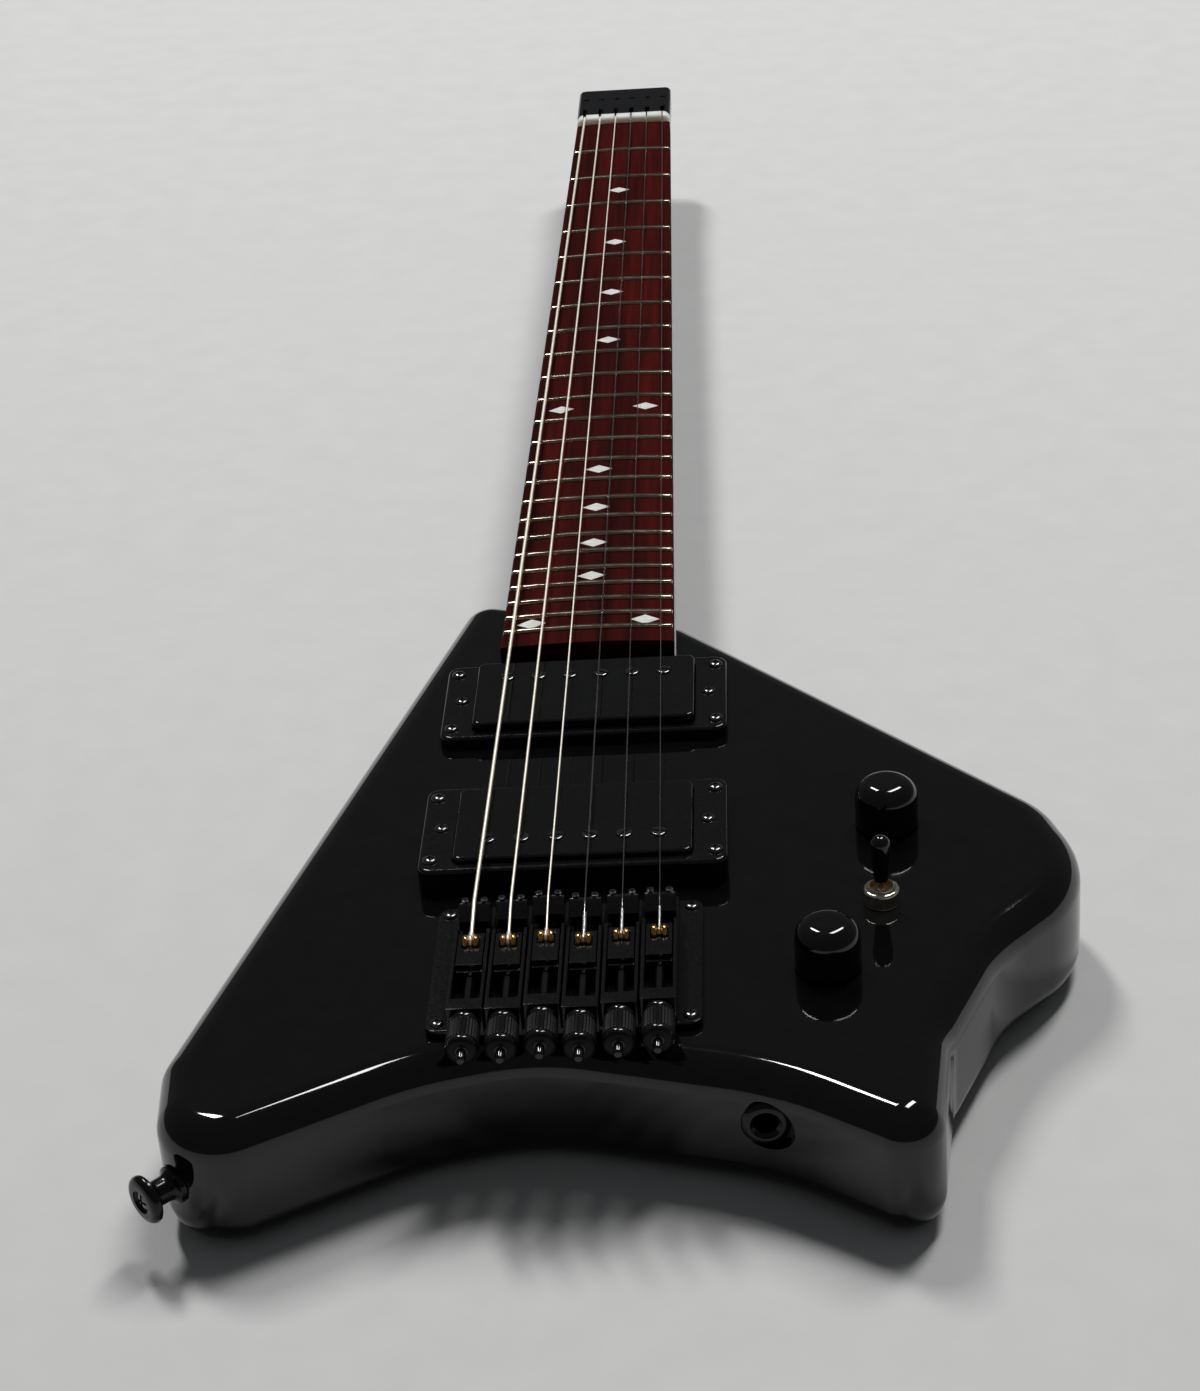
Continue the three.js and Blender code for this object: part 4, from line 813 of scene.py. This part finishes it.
wound_wire = wire_finish("wound_wire", (0.90, 0.82, 0.70), (1.0, 0.95, 0.85), (0.44, 0.54))
plain_wire = wire_finish("plain_wire", (0.34, 0.33, 0.32), (0.46, 0.45, 0.44), (0.1, 0.16))
twist_wire = wire_finish("twist_wire", (0.82, 0.81, 0.78), (0.95, 0.94, 0.92), (0.24, 0.34))
ball_brass = finish("ball_brass", (0.46, 0.24, 0.07), (0.62, 0.37, 0.14), (0.12, 0.2), grain=1300,
                    Metallic=1.0)
for i, (diameter, nut_x, x, nut_z, saddle_z, crest_y) in enumerate(strings):
    wound, radius, climb = i < wound_count, diameter / 2, saddle_z - ball_z
    path = [(x, crest_y + ball_y + ball_seat, ball_z), (x, crest_y + rise_y, ball_z + climb * rise_share)]
    path += [(x, crest_y + y, saddle_z + drop) for y, drop in saddle_bend]
    path += [(x + (nut_x - x) * k / free_spans, crest_y + (scale_length - crest_y) * k / free_spans,
              saddle_z + (nut_z - saddle_z) * k / free_spans) for k in range(1, free_spans + 1)]
    path += [(nut_x, scale_length + nut_exit, nut_z), (nut_x, scale_length + dive_start, nut_z - dive_drop)]
    path += [(nut_x, scale_length + y, z) for y, z in (clamp_mouth, clamp_floor)]
    path += [(nut_x, head_end - string_tail, clamp_floor[1])]
    form = tube(*winding(path, radius), sides=10) if wound else tube(path, radius)
    line = make(f"string_wire_{i + 1}", form, wound_wire if wound else plain_wire,
                body=None, stands_for=[f"string_{i + 1}"], crease=60)
    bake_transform(line)

    barrel = [(r, -along) for r, along in reversed(ball_flange)] + list(ball_flange)
    ball = carve(lathe(barrel, sides=40), [rod(ball_bore, -bore_reach, bore_reach, sides=24)])
    make(f"ball_end_{i + 1}", moved(ball, x, crest_y + ball_y, ball_z, along_x), ball_brass,
         body=f"carriage_{i + 1}")
    end_look = wound_wire if wound else twist_wire
    loop_wire = min(radius, loop_wire_limit)
    reach = ball_waist + loop_wire
    loop = [(x, crest_y + ball_y + reach * math.cos(a), ball_z + reach * math.sin(a))
            for a in (2 * math.pi * k / loop_spans for k in range(loop_spans + 1))]
    make(f"string_loop_{i + 1}", tube(loop, loop_wire, sides=10), end_look,
         body=f"carriage_{i + 1}", crease=60)

    wrap_end, pitch, drop, strand = wound_wrap_end, wound_wrap_pitch, wound_wrap_drop, wound_strand
    if not wound:
        wrap_end, pitch, drop = plain_wrap_end, plain_wrap_pitch, plain_wrap_drop
        strand = plain_strand_share * radius + plain_strand_extra
    reach = radius + strand * wrap_seat_share
    steps = int((wrap_end - ball_y) / (pitch * strand) * turn_steps)
    coil = []
    for k in range(steps):
        a = 2 * math.pi * k / turn_steps
        y = ball_y + wrap_start + (wrap_end - ball_y) * k / steps
        share = max(0.0, (y - rise_y) / -rise_y)
        height = ball_z + climb * (rise_share + wrap_rise_share * share) - drop
        coil.append((x + reach * math.cos(a), crest_y + y, height + reach * math.sin(a)))
    wrap = make(f"string_wrap_{i + 1}", tube(coil, strand, sides=8), end_look, body=None,
                crease=60)
    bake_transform(wrap)


# Volume and tone: smooth domed knobs of polished black resin on their pots' shafts. Each pot
# hangs in the cavity from a nut on the top, which the knob covers.
knob_resin = finish("knob_resin", (0.0028, 0.0028, 0.003), (0.0042, 0.0042, 0.0044), (0.05, 0.09), grain=400)
dome_radius, dome_height, dome_rounding, dome_middle = 9.25, 15.0, 5.5, 1.2
foot_lift, foot_chamfer, hollow_radius, hollow_depth = 0.5, 0.3, 7.25, 4.2
shaft_radius, shaft_start, shaft_end = 3, 0.4, 5
for name, place in (("volume", volume_place), ("tone", tone_place)):
    outside = [(dome_radius - foot_chamfer, foot_lift), (dome_radius, foot_lift + foot_chamfer)]
    outside += [(dome_radius - draw, dome_height - drop) for drop, draw in rounding(dome_rounding, steps=12)]
    outside.append((dome_middle, dome_height))
    dome = carve(lathe(outside, sides=96), [rod(hollow_radius, -over, hollow_depth, sides=64)])
    knob = joined([dome, rod(shaft_radius, shaft_start, shaft_end)])
    make(f"{name}_dome", moved(knob, *place, thickness), knob_resin, body=name,
         stands_for=[f"{name}_knob"])
    dress(f"{name}_pot", zinc, edge=0.15)


# Pickup switch: a lever with a black tip on a thin plated rod. A round nickel nut, coin-edged
# at the rim, holds its threaded bush, which is gilt inside, and its frame is in the cavity.
bright_nickel = finish("bright_nickel", (0.76, 0.68, 0.55), (0.90, 0.84, 0.72), (0.1, 0.18), grain=600,
                       Metallic=1.0)
tip_black = finish("tip_black", (0.003, 0.003, 0.0032), (0.005, 0.005, 0.0052), (0.08, 0.14), grain=600)
gilt = finish("gilt_bush", (0.80, 0.46, 0.15), (0.94, 0.64, 0.28), (0.2, 0.32), grain=900, Metallic=1.0)
nut_stations = ((0, 4.9, 0), (0.25, 5.2, 0), (0.5, 5.2, 1), (3.7, 5.2, 1), (3.9, 5.2, 0), (4.35, 5.1, 0),
                (4.75, 4.85, 0), (4.95, 4.45, 0))
nut_sides, nut_ridges, nut_ridge_depth = 160, 40, 0.09
nut_bore, nut_bore_low, nut_bore_high = 4.0, -1, 6
bush_profile = ((3.9, -2), (3.9, 5.2), (3.8, 5.5), (3.6, 5.65))
bush_bore, bush_bore_low, bush_bore_high, bore_play = 3.35, -3, 7, 0.15
rod_radius, rod_low, rod_high = 1.1, 36, 48
tip_radius, tip_dome_z = 2.9, 59.1
tip_profile = [(1.7, 47.0), (2.0, 47.3), (tip_radius, 56.2), (2.95, 57.5), (tip_radius, 59.0)]
tip_profile += [(tip_radius * math.cos(a), tip_dome_z + tip_radius * math.sin(a))
                for a in (0.25, 0.5, 0.75, 1.0, 1.25, 1.45)]
switch_nut = carve(ridged(nut_stations, nut_sides, nut_ridges, nut_ridge_depth),
                   [rod(nut_bore, nut_bore_low, nut_bore_high, sides=64)])
make("switch_collar", moved(switch_nut, *switch_place, thickness), bright_nickel,
     stands_for=["switch_nut"])
bush = carve(lathe(bush_profile, sides=64), [rod(bush_bore, bush_bore_low, bush_bore_high, sides=64)])
threaded_bush = make("switch_bush", moved(bush, *switch_place, thickness), bright_nickel)
threaded_bush.data.materials.append(gilt)
for face in threaded_bush.data.polygons:
    arm = Vector(face.center[:2]) / MM - Vector(switch_place)
    if abs(face.normal.z) < 0.5 and arm.length < bush_bore + bore_play:
        face.material_index = 1
dress("switch_body", zinc, edge=0.1)
tip = moved(lathe(tip_profile, sides=64), *switch_place)
make("switch_tip", tip, tip_black, body="switch", stands_for=["switch_lever"])
lever_rod = moved(rod(rod_radius, rod_low, rod_high), *switch_place)
make("switch_rod", lever_rod, bright_nickel, body="switch")


# Output jack: a black threaded barrel with a round flanged nut, seated square in the tail
# wall, open for the plug of a lead.
jack_profile = ((5.6, 34), (5.6, 0.0), (6.5, 0.0), (6.7, -0.2), (6.7, -0.9), (6.4, -1.3), (5.6, -1.7),
                (4.9, -1.9))
jack_bore_profile = ((3.3, -4), (3.3, 28))
jack_mouth_profile = ((4.3, -4), (4.3, -1.6), (3.3, -0.8))
barrel = moved(lathe(jack_profile, sides=72), turn=along_y)
bore = moved(lathe(jack_bore_profile), turn=along_y)
mouth = moved(lathe(jack_mouth_profile), turn=along_y)
make("jack_barrel", moved(carve(barrel, [bore, mouth]), *jack_place, jack_z), black_plate,
     stands_for=["output_jack"])


# Strap buttons: turned steel, plated black, one on the bass horn and one beside the neck,
# each held in its seat by a countersunk wood screw.
button_profile = (
    (5.4, 0), (5.4, 1.2), (5.2, 1.6), (4.2, 2.2), (3.7, 3.0), (3.6, 4.0), (3.6, 6.4), (3.9, 7.2), (4.9, 7.8),
    (6.2, 8.3), (6.7, 8.7), (6.85, 9.2), (6.85, 9.8), (6.6, 10.4), (6.1, 10.9), (5.4, 11.2), (4.4, 11.4),
)
countersink_profile = ((3.4, 12), (3.3, 11.0), (2.2, 9.6))
button_sink, strap_screw_z = 0.8, 9.75
strap_shank_radius, strap_shank_end, strap_shank_top = 1.55, -28, 9.9
for name, (x, y, z, facing, out) in strap_frames.items():
    button = carve(lathe(button_profile, sides=64), [lathe(countersink_profile, sides=40)])
    seat = (x - out.x * button_sink, y - out.y * button_sink, z)
    make(f"strap_stud_{name}", moved(button, *seat, facing), black_plate,
         stands_for=[f"strap_button_{name}"])
    head = moved(cross_screw(radius=3.1, height=1.3, bowl=0.7), z=strap_screw_z)
    shank = rod(strap_shank_radius, strap_shank_end, strap_shank_top, sides=16)
    make(f"strap_screw_{name}", moved(joined([head, shank]), *seat, facing), black_steel)


# Back: a black cover let in flush over the control cavity with six small screws, and the neck
# screws, each in a plated ferrule.
rear_black = finish("rear_black", (0.006, 0.006, 0.0062), (0.009, 0.009, 0.0092), (0.32, 0.44), grain=1600,
                    relief=0.000006)
flip, mirror = Matrix.Rotation(math.pi, 3, "X"), Matrix.Diagonal((1, 1, -1))
lid_screw_margin, lid_screw_z, lid_screw_rise = 2.4, 0.05, 0.55
lid_screw_sides = ((-1, -1), (1, -1), (1.4, 0.1), (1, 1), (-0.1, 1.4), (-1.2, 0.2))
lid_sink_profile = ((1.9, -1), (1.9, 0.1), (0.9, 1.1))
lid = slab(cavity, -cover_thickness, 0, edge=0.3, inset=-(rebate - gap))
lid = moved(lid, turn=mirror)
bmesh.ops.reverse_faces(lid, faces=lid.faces)
screw_line = [point + out * lid_screw_margin for point, out in rounded(cavity_corners, step=45)]
spots = [max(screw_line, key=lambda p: p.x * side[0] + p.y * side[1]) for side in lid_screw_sides]
sinks = [moved(lathe(lid_sink_profile, sides=32), *spot) for spot in spots]
make("rear_lid", carve(lid, sinks), rear_black, stands_for=["rear_cover"])
lid_screw = moved(cross_screw(radius=1.7, height=0.5, bowl=0.7), z=lid_screw_rise, turn=flip)
lid_screws = copies(lid_screw, [(*spot, lid_screw_z) for spot in spots])
make("lid_screws", lid_screws, black_steel)

bolt_feet = [(x, y, 0) for x, y in bolt_places]
ferrule_profile = ((ferrule_radius, 0.15), (ferrule_radius, 2.0), (4.4, 2.1))
cup_radius, cup_floor = 3.5, 1.2
cup = carve(lathe(ferrule_profile, sides=56), [rod(cup_radius, -over, cup_floor, sides=48)])
make("neck_ferrules", copies(cup, bolt_feet), black_plate,
     stands_for=[f"neck_bolt_{i + 1}" for i in range(4)])
bolt_shank_radius, bolt_head_z, bolt_end = 2.2, 1.3, 36
bolt_head = moved(cross_screw(radius=3.3, height=1.0, bowl=0.7), z=bolt_head_z, turn=flip)
bolt = joined([bolt_head, rod(bolt_shank_radius, cup_floor, bolt_end, sides=24)])
make("neck_screws", copies(bolt, bolt_feet), black_steel)
